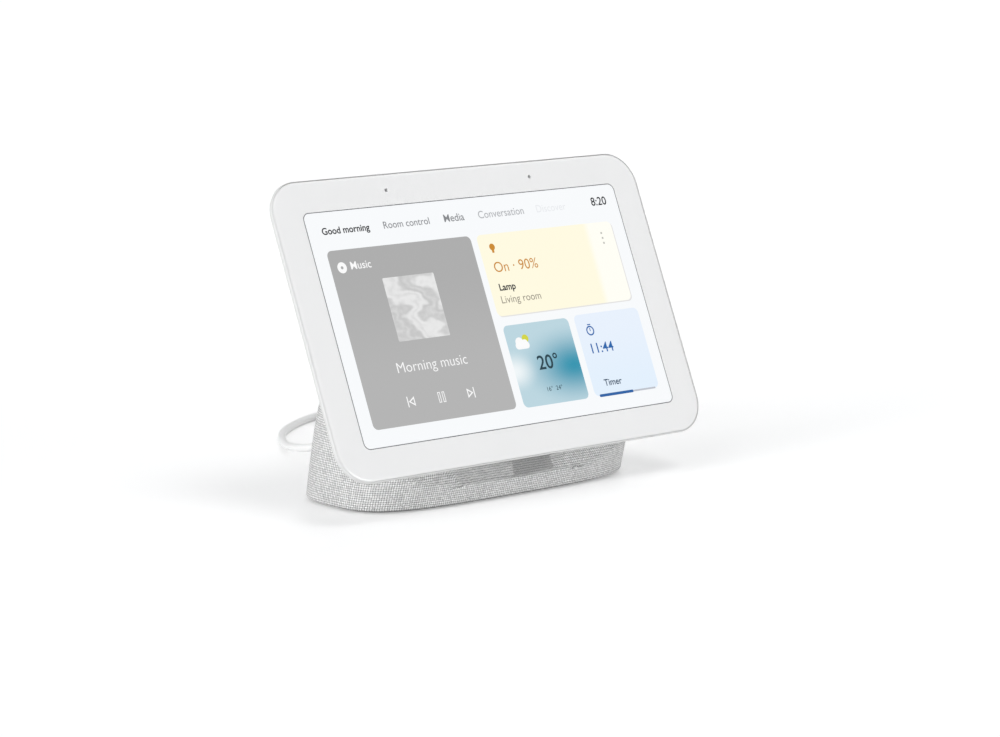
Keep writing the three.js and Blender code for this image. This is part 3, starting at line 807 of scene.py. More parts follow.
def cord_tie():
    """A strap round the coil's turns."""
    coil_low, coil_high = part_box("cord_tie")
    size = (coil_high - coil_low) / MM
    middle = (coil_high + coil_low) / 2
    piece = outline_face("cord_strap", size.x - 0.7, size.z - 0.7, STRAP["radius"], 6)
    edit(piece)
    everything()
    extrude(STRAP["width"])
    pick(piece, faces=lambda f: len(f.verts) > 4)
    bpy.ops.mesh.delete(type="FACE")
    done()
    modifier(piece, "SOLIDIFY", thickness=STRAP["thickness"] * MM, offset=0.0)
    round_edges(piece, 0.15, 2, sharp)
    centred = Matrix.Translation((0, 0, -STRAP["width"] * MM / 2))
    place(piece, Matrix.Translation(middle) @ Matrix.Rotation(math.pi / 2, 4, "X") @ centred)
    smooth(piece)
    return finish(piece, "tie_grey", "cord_tie")


def lay_along_y(piece, x, z):
    """Turns a piece's Z to +Y, with its axis at x and z, in millimetres."""
    along_y = Matrix.Rotation(-math.pi / 2, 4, "X")
    place(piece, Matrix.Translation((x * MM, 0, z * MM)) @ along_y)


def plug_pieces():
    """The plug's moulded grip with its ribbed sleeve, and the barrel."""
    start, end, count = 46.0, 53.4, 6
    profile = [(3.4, 33.6), (3.9, 33.75), (4.2, 34.4), (4.2, 35.6), (4.05, 35.9), (4.05, 41.6)]
    profile += [(4.2, 42.0), (4.2, 43.0), (3.9, 44.1), (3.3, 45.3)]
    profile += [*ribs(start, (end - start) / count, count, 2.9, 0.4), (2.3, 54.0)]
    grip = turned("plug_grip", profile, 40)
    barrel = turned("plug_barrel", [(1.0, 23.5), (1.7, 23.5), (1.9, 23.8), (1.9, 33.2)], 32)
    for piece in (grip, barrel):
        lay_along_y(piece, 0, JACK["z"])
        smooth(piece, 30)
    return [
        finish(grip, "cord_white", "plug_overmold"),
        finish(barrel, "plug_metal", "dc_plug"),
    ]


def rise(edge):
    return abs(edge.verts[0].co.z - edge.verts[1].co.z)


def at_height(edge, height):
    return all(abs(v.co.z - height) < TINY for v in edge.verts)


def adapter_pieces():
    """The adapter's body with its parting line, its sleeve and its two blades."""
    low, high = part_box("power_adapter")
    size, middle = (high - low) / MM, (high + low) / 2
    deselect()
    bpy.ops.mesh.primitive_cube_add(size=1)
    body = new_piece("adapter_body")
    edit(body, "EDGE")
    everything()
    bpy.ops.transform.resize(value=tuple(s * MM for s in size))
    pick(body, edges=lambda e: rise(e) > MM)
    bevel(6, 8)
    pick(body, edges=lambda e: rise(e) < TINY and sharp(e, 57.3))
    bevel(3.2, 6)
    seam, half_seam = 2.2, 0.28
    for height in (half_seam, -half_seam):
        everything()
        bpy.ops.mesh.bisect(plane_co=(0, 0, (seam + height) * MM), plane_no=(0, 0, 1))
    low_line, high_line = 1.92 * MM - TINY, 2.48 * MM + TINY
    pick(body, faces=lambda f: low_line < f.calc_center_median().z < high_line)
    inset(0.0, -0.25)
    done()
    place(body, Matrix.Translation(middle))
    smooth(body, 40)
    finish(body, "cord_white", "power_adapter")

    sleeve_low, sleeve_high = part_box("adapter_strain_relief")
    start, end = sleeve_low.y / MM, sleeve_high.y / MM
    count = 5
    profile = [(3.4, start), (3.4, start + 1.2), (3.0, start + 1.8)]
    profile += [*ribs(start + 2.2, (end - start - 2.4) / count, count, 3.1, 0.6), (2.2, end)]
    sleeve = turned("adapter_sleeve", profile, 32)
    lay_along_y(sleeve, ADAPTER["x"], ADAPTER["height"] / 2)
    smooth(sleeve, 30)
    finish(sleeve, "cord_white", "adapter_strain_relief")

    blades = []
    for i in (1, 2):
        node = f"adapter_blade_{i}"
        low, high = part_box(node)
        size, middle = (high - low) / MM, (high + low) / 2
        blade = slab(f"blade_{i}", size.x, size.z, 0.0, -size.y / 2, size.y / 2)
        edit(blade, "EDGE")
        pick(blade, edges=lambda e: all(v.co.x < 0 for v in e.verts) and rise(e) > 1e-5)
        bevel(1.2, 4)
        done()
        drill(blade, 24, 1.6, 5, location=(-size.x / 2 * MM + 4 * MM, 0, 0))
        round_edges(blade, 0.2, 2, sharp)
        place(blade, Matrix.Translation(middle) @ Matrix.Rotation(math.pi / 2, 4, "X"))
        smooth(blade, 35)
        blades.append(finish(blade, "plug_metal", node))
    return [body, sleeve, *blades]


class SMARTDISPLAY_OT_cord(bpy.types.Operator):
    """Lays the power cord with its plug, coil, tie and adapter"""

    bl_idname = "smart_display.cord"
    bl_label = "Power cord"

    def execute(self, context):
        cord = lay_cord()
        pieces = [*plug_pieces(), cord_tie(), *adapter_pieces()]
        return {"FINISHED"}


# ---- Stage ----
def soft_sun(name, direction, strength, spread=40):
    """An even light from far away, softened over an angle in degrees."""
    deselect()
    bpy.ops.object.light_add(type="SUN")
    lamp = bpy.context.object
    lamp.name = name
    lamp.data.energy = strength
    lamp.data.angle = math.radians(spread)
    lamp.rotation_euler = (-Vector(direction)).to_track_quat("-Z", "Y").to_euler()
    return lamp


class SMARTDISPLAY_OT_stage(bpy.types.Operator):
    """Adds the floor, the soft lights and the pale surroundings"""

    bl_idname = "smart_display.stage"
    bl_label = "Stage"

    def execute(self, context):
        deselect()
        bpy.ops.mesh.primitive_plane_add(size=40)
        floor = new_piece("floor")
        shader = Shader("floor_paint")
        ray = shader.node("ShaderNodeLightPath")
        seen = shader.value(ray, "Is Camera Ray")
        for kind in ("Is Glossy Ray", "Is Transmission Ray"):
            seen = seen.math("MAXIMUM", shader.value(ray, kind))
        haze = shader.noise(shader.coordinates(), 3.0, 2.0)
        tone = shader.mix(haze, (0.88,) * 3, (0.89,) * 3)
        paint = shader.node("ShaderNodeBsdfDiffuse", None, {"Color": tone})
        white = {"Color": (1, 1, 1), "Strength": seen * 0.27}
        glow = shader.node("ShaderNodeEmission", None, white)
        both = shader.node("ShaderNodeAddShader", None, {0: paint.outputs[0], 1: glow.outputs[0]})
        output = shader.tree.nodes["Material Output"]
        shader.feed(output.inputs["Surface"], both.outputs[0])
        floor.data.materials.append(shader.material)

        world = bpy.data.worlds.new("surroundings")
        context.scene.world = world
        world.use_nodes = True
        tree = world.node_tree
        path = tree.nodes.new("ShaderNodeLightPath")
        mixed = tree.nodes.new("ShaderNodeMixShader")
        lit, shown = tree.nodes["Background"], tree.nodes.new("ShaderNodeBackground")
        lit.inputs["Color"].default_value = (0.97, 0.985, 1.0, 1)
        lit.inputs["Strength"].default_value = 0.36
        shown.inputs["Color"].default_value = (1, 1, 1, 1)
        shown.inputs["Strength"].default_value = 1.0
        tree.links.new(path.outputs["Is Camera Ray"], mixed.inputs[0])
        tree.links.new(lit.outputs[0], mixed.inputs[1])
        tree.links.new(shown.outputs[0], mixed.inputs[2])
        tree.links.new(mixed.outputs[0], tree.nodes["World Output"].inputs["Surface"])

        soft_sun("key_light", (0, -0.6, 1.0), 0.6, 24)
        soft_sun("low_light", (0.4, -1.0, 0.1), 1.2, 30)
        soft_sun("low_side_light", (-1.0, -0.05, 0.1), 1.9, 30)
        soft_sun("side_light", (-1.0, -0.15, 0.9), 0.5)
        soft_sun("right_light", (0.9, -0.2, 0.7), 0.35)
        soft_sun("rear_light", (0.7, 0.6, 0.9), 0.3, 12)
        context.scene.view_settings.view_transform = "Standard"
        return {"FINISHED"}


# ---- Display head, modelled flat in screen space and then leaned back ----
def rear_stations(grow=0.0):
    """(inset, depth) from the widest line to the flat back."""
    steps = 14
    profile = bezier([(0, 1.2), (0, 3.2), (10, OUTLINE["depth"]), (22, OUTLINE["depth"])], steps)
    found = []
    for i, (edge, depth) in enumerate(profile):
        lean = math.sin(math.pi / 2 * min(1, i / steps * 1.6))
        found.append((edge - grow * (1 - lean), depth + grow * lean))
    return found


def extrude_stations(stations):
    """From the selected ring, extrudes on through (inset, depth) stations of the head's outline."""
    for (edge, depth), (next_edge, next_depth) in zip(stations, stations[1:]):
        extrude(depth - next_depth)
        spans_mm = (OUTLINE["width"], OUTLINE["height"])
        scale = [(span - 2 * next_edge) / (span - 2 * edge) for span in spans_mm]
        bpy.ops.transform.resize(value=(*scale, 1), center_override=(0, OUTLINE["centre"] * MM, 0))


def inset_stations(stations):
    """Insets the selected face on through (inset, depth) stations."""
    for (edge, depth), (next_edge, next_depth) in zip(stations, stations[1:]):
        inset(next_edge - edge, depth - next_depth)


def head_outline(name, edge, depth, radius, segments):
    """The head's outline, inset by edge, at a depth behind the glass's face."""
    width, height = OUTLINE["width"] - 2 * edge, OUTLINE["height"] - 2 * edge
    return outline_face(name, width, height, radius, segments, 0, OUTLINE["centre"], -depth)


def head_envelope(name, grow):
    """The head's outer form as one closed solid, grown outwards."""
    stations = rear_stations(grow)
    piece = head_outline(name, stations[0][0], stations[0][1], OUTLINE["radius"], 16)
    edit(piece)
    everything()
    extrude_stations(stations)
    close_solid()
    return piece


def rear_cover():
    """The rear housing: lip, glass recess, curved shoulder and flat back, with its two slots."""
    stations = rear_stations()
    cover = head_outline("housing_cover", 0, stations[0][1], OUTLINE["radius"], 16)
    edit(cover)
    # Front side: over the rounded lip, down the recess's wall and across the ledge.
    lip = [(0, 1.2), (0.02, 0.6), (0.05, 0.3), (0.1, 0.12), (0.18, 0.02), (0.24, 0), (0.31, 0.01)]
    lip += [(COVER["recess"], 0.07)]
    everything()
    inset_stations(lip)
    walls = [(COVER["recess"], COVER["seat_depth"])]
    walls += [(COVER["seat"], COVER["ledge_depth"]), (COVER["ledge"], 0)]
    start = lip[-1][1]
    for (edge, depth), (next_edge, _) in zip(walls, walls[1:]):
        extrude(start - depth)
        inset(next_edge - edge)
        start = depth
    # Inside: down the cavity to the back wall's inner face.
    extrude_stations(bezier([(4.6, 2.0), (4.6, 4.2), (11.5, 8.6), (22.5, 8.6)], 8))
    # Outside: from the widest line round the shoulder to the flat back.
    pick(cover, edges=lambda e: e.is_boundary and at_height(e, -stations[0][1] * MM))
    bpy.ops.mesh.edge_face_add()
    extrude_stations(stations)
    inset(6)
    close_solid()
    slot = (SWITCH["width"], SWITCH["height"])
    cut(cover, slab("switch_cutter", *slot, 2.3, -13, -5.6, 0, SWITCH["v"]))
    slot = (ROCKER["width"] + 2 * ROCKER["gap"], ROCKER["length"] + 2 * ROCKER["gap"])
    cut(cover, slab("rocker_cutter", *slot, 2.75, -13, -6.0, ROCKER["u"], ROCKER["v"]))

    def by_a_slot(vertex):
        x, y, z = vertex.co / MM
        by_switch = abs(x) < 7 and abs(y - SWITCH["v"]) < 3
        by_rocker = abs(x - ROCKER["u"]) < 3.2 and abs(y - ROCKER["v"]) < 14
        return z < -6.9 and (by_switch or by_rocker)

    round_edges(cover, 0.22, 2, lambda e: sharp(e, 45) and all(by_a_slot(v) for v in e.verts))
    place(cover, HEAD)
    smooth(cover, 32)
    return finish(cover, "plastic", "rear_cover")


def front_glass():
    """The cover glass with its rounded edge and two microphone holes."""
    radius = OUTLINE["radius"] - GLASS["inset"]
    glass = head_outline("cover_glass", GLASS["inset"], GLASS["thickness"], radius, 18)
    edit(glass)
    everything()
    drop, edge = GLASS["edge_drop"], GLASS["edge"]
    extrude(GLASS["thickness"] - drop)
    shares = (0, 0.02, 0.08, 0.18, 0.32, 0.5, 0.72, 1)
    inset_stations([(edge * t, drop * (1 - math.sqrt(1 - (1 - t) ** 2))) for t in shares])
    inset(4)
    close_solid()
    for side in (-1, 1):
        drill(glass, 20, MIC["radius"], 4, location=(side * MIC["u"] * MM, MIC["v"] * MM, 0))
    place(glass, HEAD)
    smooth(glass, 30)
    return finish(glass, "glass", "front_glass")


class SMARTDISPLAY_OT_head(bpy.types.Operator):
    """Models the rear housing and the cover glass"""

    bl_idname = "smart_display.head"
    bl_label = "Display head"

    def execute(self, context):
        rear_cover()
        front_glass()
        return {"FINISHED"}


def control(name, blank, grow, low, width=0.35):
    """A button cut from the grown outer form, so that it follows the shoulder's curve."""
    cut(blank, head_envelope("envelope", grow), "INTERSECT")
    blank.name = blank.data.name = name
    round_edges(blank, width, 3, lambda e: sharp(e, 50) and all(v.co.z < low * MM for v in e.verts))
    return blank


class SMARTDISPLAY_OT_controls(bpy.types.Operator):
    """Models the volume rocker and the microphone switch"""

    bl_idname = "smart_display.controls"
    bl_label = "Rear controls"

    def execute(self, context):
        centre = (ROCKER["u"], ROCKER["v"])
        blank = slab("blank", ROCKER["width"], ROCKER["length"], 2.45, -12, -6.4, *centre, 10)
        rocker = control("rocker_button", blank, 0.5, -6.6)
        place(rocker, HEAD)
        smooth(rocker, 30)
        finish(rocker, "plastic", "volume_rocker", body="volume_button")

        x = -(SWITCH["width"] - SWITCH["slider"] - 2 * SWITCH["gap"]) / 2
        height = SWITCH["height"] - 2 * SWITCH["gap"]
        blank = slab("blank", SWITCH["slider"], height, 2.0, -12, -6.0, x, SWITCH["v"], 10)
        slider = control("switch_slider", blank, 0.6, -6.4, 0.3)
        for i in range(3):
            deselect()
            ridge = ((x + (i - 1) * 1.3) * MM, SWITCH["v"] * MM, -9.05 * MM)
            bpy.ops.mesh.primitive_cube_add(size=1, location=ridge)
            groove = bpy.context.object
            groove.scale = (0.45 * MM, 2.6 * MM, 0.9 * MM)
            groove.rotation_euler = (math.radians(-20), 0, 0)
            cut(slider, groove)
        place(slider, HEAD)
        smooth(slider, 30)
        finish(slider, "plastic", "mic_switch_slider", body="mic_slider")
        return {"FINISHED"}


# ---- Screen ----
LAYER = 0.02  # height of one drawn layer over the glass


def srgb(red, green, blue):
    """A colour as seen on the screen, 0 to 255, as linear light."""

    def linear(c):
        c = c / 255
        return c / 12.92 if c <= 0.04045 else ((c + 0.055) / 1.055) ** 2.4

    return tuple(linear(c) for c in (red, green, blue))


def patch(piece, layer, glow):
    """Places a flat drawn shape on the glass."""
    piece.data.transform(Matrix.Translation((0, 0, layer * LAYER * MM)))
    place(piece, HEAD)
    return finish(piece, "glass", look=glow)


def tile(name, left, right, bottom, top, radius, layer, glow):
    centre = ((left + right) / 2, (bottom + top) / 2)
    return patch(outline_face(name, right - left, top - bottom, radius, 8, *centre), layer, glow)


def hollow(piece, width):
    """Leaves a flat shape's border, in millimetres."""
    edit(piece)
    everything()
    inset(width)
    bpy.ops.mesh.delete(type="FACE")
    done()


def frame_line(name, left, right, bottom, top, radius, width, layer, glow):
    """A thin line that follows a rounded rectangle."""
    centre = ((left + right) / 2, (bottom + top) / 2)
    piece = outline_face(name, right - left, top - bottom, radius, 8, *centre)
    hollow(piece, width)
    return patch(piece, layer, glow)


def disc(name, u, v, radius, layer, glow, inner=0.0):
    deselect()
    bpy.ops.mesh.primitive_circle_add(
        vertices=32, radius=radius * MM, fill_type="NGON", location=(u * MM, v * MM, 0)
    )
    piece = new_piece(name)
    bpy.ops.object.transform_apply(location=True)
    if inner:
        hollow(piece, radius - inner)
    return patch(piece, layer, glow)


def triangle(name, u, v, size, direction, layer, glow, line):
    """A triangle's outline, line millimetres wide."""
    deselect()
    bpy.ops.mesh.primitive_circle_add(vertices=3, radius=size * MM, fill_type="NGON")
    piece = new_piece(name)
    hollow(piece, line)
    turn = Matrix.Rotation(math.radians(-90 * direction), 4, "Z")
    squeeze = Matrix.Diagonal((0.85, 0.95, 1, 1))
    place(piece, Matrix.Translation((u * MM, v * MM, 0)) @ squeeze @ turn)
    return patch(piece, layer, glow)


def words(name, text, left, baseline, width, layer, glow, thin=0.0):
    """Plain characters, drawn to a width from a left edge and a baseline."""
    deselect()
    bpy.ops.object.text_add()
    piece = bpy.context.object
    piece.data.body = text
    piece.data.size = 1.0
    piece.data.offset = -thin
    piece.data.resolution_u = 6
    only(piece)
    bpy.ops.object.convert(target="MESH")
    piece = new_piece(name)
    xs = [v.co.x for v in piece.data.vertices]
    scale = width * MM / (max(xs) - min(xs))
    shift = Matrix.Translation((left * MM - min(xs) * scale, baseline * MM, 0))
    place(piece, shift @ Matrix.Diagonal((scale, scale, 1, 1)))
    return patch(piece, layer, glow)


def glow_between(centre, reach):
    """A factor that rises from 0 at a centre to 1 at a reach, in millimetres."""

    def blend(shader, u, v):
        du, dv = (u - centre[0]) / reach[0], (v - centre[1]) / reach[1]
        return shader.ramp((du * du + dv * dv).math("SQRT"), 0.0, 1.0)

    return blend


def faded(centre, reach):
    """A factor that falls from 1 at a centre to 0 at a reach, in millimetres."""

    def blend(shader, u, v):
        return 1 - glow_between(centre, reach)(shader, u, v)

    return blend


def across(start, end):
    """A factor that rises from 0 to 1 from left to right, in millimetres."""

    def blend(shader, u, v):
        return shader.ramp(u, start, end)

    return blend


def down(start, end):
    """A factor that rises from 0 to 1 from a height to a lower one, in millimetres."""

    def blend(shader, u, v):
        return shader.ramp(v * -1, -start, -end)

    return blend


def soft_folds(shader, u, v):
    """Soft swirling strands, for the album tile."""
    swirl = shader.noise(shader.combine(u * 0.07, v * 0.12), 1.0, 2.0)
    fine = shader.noise(shader.combine(u * 0.5, v * 0.5), 1.0, 3.0)
    wide = (u * 0.3 + v * 0.2 + swirl * 11.0).math("SINE")
    strands = (u * 0.9 + v * 0.5 + swirl * 34.0).math("SINE")
    return shader.ramp(wide * 0.5 + strands * 0.3 + fine * 0.9, -0.5, 1.3)


class SMARTDISPLAY_OT_screen(bpy.types.Operator):
    """Draws the lit screen: its ground, cards, signs and numbers"""

    bl_idname = "smart_display.screen"
    bl_label = "Lit screen"

    def execute(self, context):
        w, h = SCREEN["width"] / 2, SCREEN["height"] / 2
        ground = lit_pixels("screen_ground", srgb(247, 249, 251))
        tile("screen_ground", -w, w, -h, h, SCREEN["radius"], 1, ground)
        edge = lit_pixels("screen_edge", srgb(96, 98, 102))
        w, h = w + 0.12, h + 0.12
        frame_line("screen_edge", -w, w, -h, h, SCREEN["radius"], 0.3, 2, edge)

        paler = (srgb(178, 178, 178), down(20, -20))
        grey = lit_pixels("card_grey", srgb(171, 171, 171), paler)
        tile("music_card", -69.8, -1.9, -37.9, 29.7, 2.2, 2, grey)
        folds = lit_pixels("album_tone", srgb(196, 196, 196), (srgb(232, 232, 232), soft_folds))
        tile("album_tile", -48.0, -23.8, -6.9, 17.4, 0.5, 3, folds)
        white = lit_pixels("sign_white", srgb(250, 250, 250))
        disc("music_disc", -64.6, 23.0, 2.1, 3, white, 0.6)
        words("music_word", "Music", -60.6, 22.0, 9.4, 3, white, -0.006)
        words("title_word", "Morning music", -52.2, -18.4, 33.0, 3, white, 0.008)
        self.player_signs(white)

        dark = lit_pixels("ink_dark", srgb(40, 42, 46))
        mid = lit_pixels("ink_mid", srgb(132, 134, 138))
        pale = lit_pixels("ink_pale", srgb(176, 178, 182))
        faint = lit_pixels("ink_faint", srgb(232, 234, 237))
        words("tab_1", "Good morning", -69.3, 35.9, 21.9, 2, dark, -0.022)
        words("tab_2", "Room control", -40.8, 35.9, 21.8, 2, mid, -0.006)
        words("tab_3", "Media", -11.9, 36.0, 9.8, 2, mid, -0.008)
        words("tab_4", "Conversation", 4.9, 36.0, 22.6, 2, pale, -0.006)
        words("tab_5", "Discover", 34.0, 36.0, 15.0, 2, faint)
        words("clock_reading", "8:20", 62.4, 36.4, 7.9, 2, dark, -0.014)

        edge = lit_pixels("card_edge", srgb(226, 225, 224))
        tile("light_card_edge", 1.4, 69.75, -2.85, 29.2, 2.2, 2, edge)
        pale_cream = (srgb(254, 253, 244), across(54.2, 58.2))
        cream = lit_pixels("card_cream", srgb(254, 249, 224), pale_cream)
        tile("light_card", 1.0, 69.3, -2.4, 29.6, 2.2, 3, cream)
        amber = lit_pixels("sign_amber", srgb(203, 136, 34))
        disc("lamp_sign", 7.3, 24.5, 1.35, 4, amber)
        tile("lamp_sign_neck", 6.75, 7.85, 22.2, 23.8, 0.3, 4, amber)
        words("light_reading", "On · 90%", 5.6, 14.6, 21.6, 4, amber)
        words("lamp_word", "Lamp", 5.4, 7.4, 8.0, 4, dark, -0.024)
        brown = lit_pixels("ink_brown", srgb(142, 136, 122))
        words("room_word", "Living room", 4.8, 2.4, 19.6, 4, brown)
        dots = lit_pixels("sign_grey", srgb(186, 186, 180))
        for i in range(3):
            disc(f"menu_dot_{i + 1}", 63.2, 25.2 - 2.0 * i, 0.45, 4, dots)

        haze = (srgb(186, 213, 223), glow_between((31.5, -24.5), (29, 17)))
        mist = (srgb(240, 246, 248), faded((1.5, -24.0), (13, 9)))
        sky = lit_pixels("card_sky", srgb(40, 146, 174), haze, mist)
        tile("weather_card", 1.7, 34.3, -38.2, -6.2, 2.2, 2, sky)
        sun = lit_pixels("sign_sun", srgb(210, 212, 62))
        disc("sun_sign", 11.0, -12.0, 1.6, 3, sun)
        self.cloud_sign(white)
        ink = lit_pixels("ink_teal", srgb(24, 58, 70))
        words("outside_reading", "20°", 13.9, -24.6, 10.2, 3, ink, -0.012)
        words("range_reading", "16°  24°", 15.0, -33.2, 7.6, 3, ink)

        deeper = (srgb(226, 239, 252), down(-10, -36))
        ice = lit_pixels("card_ice", srgb(231, 240, 252), deeper)
        tile("timer_card", 37.4, 70.6, -38.0, -5.7, 2.2, 2, ice)
        blue = lit_pixels("ink_blue", srgb(30, 98, 170))
        self.clock_sign(blue)
        words("timer_reading", "11:44", 42.0, -21.3, 11.2, 3, blue, -0.008)
        navy = lit_pixels("ink_navy", srgb(30, 62, 92))
        words("timer_word", "Timer", 43.6, -34.4, 9.0, 3, navy, -0.014)
        run = lit_pixels("bar_blue", srgb(32, 94, 162))
        tile("timer_done", 39.6, 57.0, -38.5, -37.4, 0.45, 4, run)
        rest = lit_pixels("bar_grey", srgb(188, 192, 202))
        tile("timer_left", 57.0, 68.6, -38.3, -37.6, 0.3, 3, rest)
        return {"FINISHED"}

    def player_signs(self, glow):
        v, half = -29.4, 2.0
        for name, u, side in (("previous", -49.4, -1), ("next", -22.0, 1)):
            triangle(f"{name}_sign", u - 0.3 * side, v, half + 0.2, side, 3, glow, 0.5)
            bar = u + 2.0 * side
            tile(f"{name}_bar", bar - 0.22, bar + 0.22, v - half, v + half, 0.0, 3, glow)
        for i, centre in enumerate((-36.5, -34.5)):
            edges = (centre - 0.6, centre + 0.6, v - half, v + half)
            frame_line(f"pause_bar_{i + 1}", *edges, 0.0, 0.3, 3, glow)

    def cloud_sign(self, glow):
        tile("cloud_base", 5.5, 12.3, -15.9, -13.1, 1.35, 5, glow)
        disc("cloud_left", 7.8, -13.2, 1.95, 5, glow)
        disc("cloud_right", 10.3, -13.7, 1.45, 5, glow)

    def clock_sign(self, glow):
        disc("clock_ring", 43.9, -12.4, 1.95, 3, glow, 1.4)
        tile("clock_hand", 43.7, 44.1, -12.6, -11.3, 0.0, 3, glow)
        tile("clock_crown", 43.1, 44.7, -10.2, -9.75, 0.0, 3, glow)


# ---- Base ----
def half_width(h):
    return BASE["half_width"] - 0.03 * h - 26 * (h / 92) ** 4


def front(h):
    return BASE["front"] - 0.318 * h


def rear(h):
    return BASE["rear"] - 0.08 * h - 0.00174 * h * h - 8.5 * (h / 86) ** 5


def spans(h, edge):
    """Half the width, half the depth and the middle of the base at a height, inset by edge."""
    return half_width(h) - edge, (rear(h) - front(h)) / 2 - edge, (rear(h) + front(h)) / 2


def base_outline(edge, count):
    """The foot's superellipse as evenly spaced points, starting at the middle of the front."""
    half_x, half_y, centre = spans(0, edge)
    fine = 4096
    dense = []
    for i in range(fine + 1):
        angle = 2 * math.pi * i / fine - math.pi / 2
        c, s = math.cos(angle), math.sin(angle)
        power = 2 / SQUARENESS["front" if s < 0 else "rear"]
        x = half_x * math.copysign(abs(c) ** power, c)
        y = centre + half_y * math.copysign(abs(s) ** power, s)
        dense.append((x, y))
    reach = [0.0]
    for p, q in zip(dense, dense[1:]):
        reach.append(reach[-1] + math.dist(p, q))
    found, k = [], 0
    for i in range(count):
        goal = reach[-1] * i / count
        while reach[k + 1] < goal:
            k += 1
        share = (goal - reach[k]) / (reach[k + 1] - reach[k])
        found.append(tuple(a + (b - a) * share for a, b in zip(dense[k], dense[k + 1])))
    return found, reach[-1]


def base_stack(name, levels, count):
    """Skins the base's form through (height, inset) levels, bottom to top, open at both ends."""
    outline, around = base_outline(levels[0][1], count)
    deselect()
    bpy.ops.mesh.primitive_circle_add(vertices=count, radius=1)
    piece = new_piece(name)
    for vertex, (x, y) in zip(piece.data.vertices, outline):
        vertex.co = (x * MM, y * MM, (BASE["bottom"] + levels[0][0]) * MM)
    edit(piece, "VERT")
    everything()
    # The first ring is drawn at the foot; it is moved to its own level's place first.
    before, height = spans(0, levels[0][1]), levels[0][0]
    for level in levels:
        now = spans(*level)
        if level is not levels[0]:
            extrude(level[0] - height)
        scale = (now[0] / before[0], now[1] / before[1], 1)
        bpy.ops.transform.resize(value=scale, center_override=(0, before[2] * MM, 0))
        bpy.ops.transform.translate(value=(0, (now[2] - before[2]) * MM, 0))
        before, height = now, level[0]
    done()
    return piece, around


def map_weave(piece, count, levels, around, pitch):
    """Gives the skin a UV map in yarns: even round the foot, and by distance up the rear."""
    layer = piece.data.uv_layers.new(name="weave")
    yarns = 2 * round(around / pitch / 2)
    climb = [0.0]
    for (h, _), (next_h, _) in zip(levels, levels[1:]):
        climb.append(climb[-1] + math.hypot(next_h - h, rear(next_h) - rear(h)))
    for polygon in piece.data.polygons:
        columns = [piece.data.loops[i].vertex_index % count for i in polygon.loop_indices]
        wraps = 0 in columns and count - 1 in columns
        for i, column in zip(polygon.loop_indices, columns):
            row = piece.data.loops[i].vertex_index // count
            if wraps and column == 0:
                column = count
            layer.data[i].uv = (yarns * column / count, climb[row] / pitch)


def map_slope(piece, pitch):
    """Maps the faces that lie along the head's back straight across and up."""
    layer = piece.data.uv_layers["weave"]
    inverse = HEAD.inverted()
    out = HEAD.to_3x3() @ Vector((0, 0, 1))
    for polygon in piece.data.polygons:
        if polygon.normal.dot(out) > 0.9:
            for i in polygon.loop_indices:
                spot = inverse @ piece.data.vertices[piece.data.loops[i].vertex_index].co / MM
                layer.data[i].uv = (spot.x / pitch, spot.y / pitch)


def fabric_cover():
    """The fabric: tucked hem, lofted wall, slope under the head and the hole for the plug."""
    count, rows = FABRIC["columns"], FABRIC["rows"]
    pitch = sizes().yarn_pitch / MM
    levels = [(0.3, 3.2), (0.05, 2.2), (0.0, 1.3), (0.12, 0.62), (0.45, 0.2), (1.0, 0.0)]
    levels += [(1 + FABRIC["top"] * i / rows, 0.0) for i in range(1, rows + 1)]
    cover, around = base_stack("fabric_cover", levels, count)
    map_weave(cover, count, levels, around, pitch)
    out = HEAD.to_3x3() @ Vector((0, 0, 1))
    on_plane = HEAD @ Vector((0, 0, -BASE["top_depth"] * MM))
    edit(cover)
    everything()
    bpy.ops.mesh.bisect(plane_co=on_plane, plane_no=out, use_fill=True, clear_outer=True)
    done()
    map_slope(cover, pitch)
    edit(cover, "EDGE")
    by_slope = lambda e: len(e.link_faces) == 2 and max(len(f.verts) for f in e.link_faces) > 20
    pick(cover, edges=by_slope)
    bpy.ops.mesh.bevel(offset=sizes().hem_round, segments=5, affect="EDGES")
    close_solid()
    modifier(cover, "SOLIDIFY", thickness=FABRIC["thickness"] * MM, offset=-1.0)
    hole = (0, JACK["face"] * MM, JACK["z"] * MM)
    drill(cover, 48, JACK["bezel_outer"] + 0.1, 20, location=hole, rotation=(math.pi / 2, 0, 0))
    smooth(cover, 40)
    finish(cover, "fabric", "fabric_sleeve")
    return cover


def rubber_foot():
    """The foot, with its lower edge rounded and a raised grip rim."""
    count, thickness = 120, 1.4
    outline, _ = base_outline(3.2, count)
    deselect()
    bpy.ops.mesh.primitive_circle_add(vertices=count, radius=1, fill_type="NGON")
    foot = new_piece("rubber_pad")
    for vertex, (x, y) in zip(foot.data.vertices, outline):
        vertex.co = (x * MM, y * MM, thickness * MM)
    edit(foot)
    everything()
    extrude(-thickness)
    everything()
    bpy.ops.mesh.normals_make_consistent(inside=False)
    pick(foot, edges=lambda e: sharp(e, 60) and at_height(e, 0.0))
    bevel(0.5, 3)
    done()
    edit(foot)
    pick(foot, faces=lambda f: f.normal.z < -0.99 and len(f.verts) > 20)
    inset(3.0)
    inset(0.3, -0.35)
    done()
    smooth(foot)
    return finish(foot, "rubber", "rubber_foot")


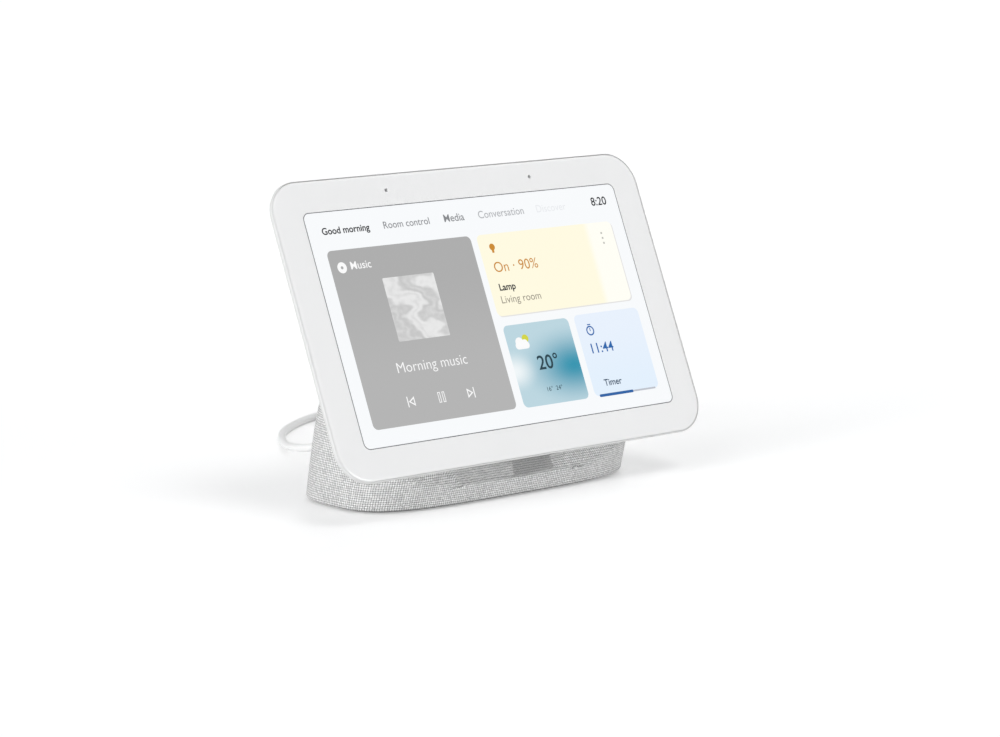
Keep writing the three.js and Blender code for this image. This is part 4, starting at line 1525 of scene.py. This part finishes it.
def jack_bezel():
    """The ring round the power socket, dished towards the plug."""
    low = JACK["face"] - 5.7
    profile = [(4.85, low), (7.5, low), (7.5, low + 1.2), (6.0, low + 1.25), (6.0, 34.0)]
    profile += [(5.85, 34.3), (5.5, 34.4), (5.2, 34.3), (4.9, 33.9)]
    ring = turn_skin("socket_ring", profile, 48, "EDGE")
    pick(ring, edges=lambda e: e.is_boundary)
    bpy.ops.mesh.bridge_edge_loops()
    close_solid()
    lay_along_y(ring, 0, JACK["z"])
    smooth(ring, 30)
    return finish(ring, "plastic", "jack_bezel")


class SMARTDISPLAY_OT_base(bpy.types.Operator):
    """Models the fabric-covered base, its foot and its power socket ring"""

    bl_idname = "smart_display.base"
    bl_label = "Speaker base"

    def execute(self, context):
        fabric_cover()
        rubber_foot()
        jack_bezel()
        return {"FINISHED"}


# ---- Inside ----
class SMARTDISPLAY_OT_inside(bpy.types.Operator):
    """Gives every inner part that stays as packed its finish"""

    bl_idname = "smart_display.inside"
    bl_label = "Inner parts"

    def execute(self, context):
        slots = {part["node"]: part["material_slot"] for part in frame["record"]["subparts"]}
        for node, part in frame["nodes"].items():
            if not part.hide_render:
                part.data.materials.clear()
                part.data.materials.append(material(slots[node]))
        return {"FINISHED"}


# ---- Panel and run ----
STEPS = (
    SMARTDISPLAY_OT_camera,
    SMARTDISPLAY_OT_cord,
    SMARTDISPLAY_OT_stage,
    SMARTDISPLAY_OT_head,
    SMARTDISPLAY_OT_screen,
    SMARTDISPLAY_OT_controls,
    SMARTDISPLAY_OT_base,
    SMARTDISPLAY_OT_inside,
)


class SMARTDISPLAY_PT_panel(bpy.types.Panel):
    """Lists the sizes and the steps"""

    bl_idname = "SMARTDISPLAY_PT_panel"
    bl_label = "Smart Display"
    bl_space_type = "VIEW_3D"
    bl_region_type = "UI"
    bl_category = "Smart Display"

    def draw(self, context):
        for key in SmartDisplaySizes.__annotations__:
            self.layout.prop(context.scene.smart_display, key)
        for step in STEPS:
            self.layout.operator(step.bl_idname)


CLASSES = (SmartDisplaySizes, *STEPS, SMARTDISPLAY_PT_panel)


def register():
    for item in CLASSES:
        bpy.utils.register_class(item)
    bpy.types.Scene.smart_display = bpy.props.PointerProperty(type=SmartDisplaySizes)


def unregister():
    del bpy.types.Scene.smart_display
    for item in reversed(CLASSES):
        bpy.utils.unregister_class(item)


def main():
    register()
    bpy.ops.smart_display.camera()
    bpy.ops.smart_display.cord()
    bpy.ops.smart_display.stage()
    bpy.ops.smart_display.head()
    bpy.ops.smart_display.screen()
    bpy.ops.smart_display.controls()
    bpy.ops.smart_display.base()
    bpy.ops.smart_display.inside()


if __name__ == "__main__":
    main()
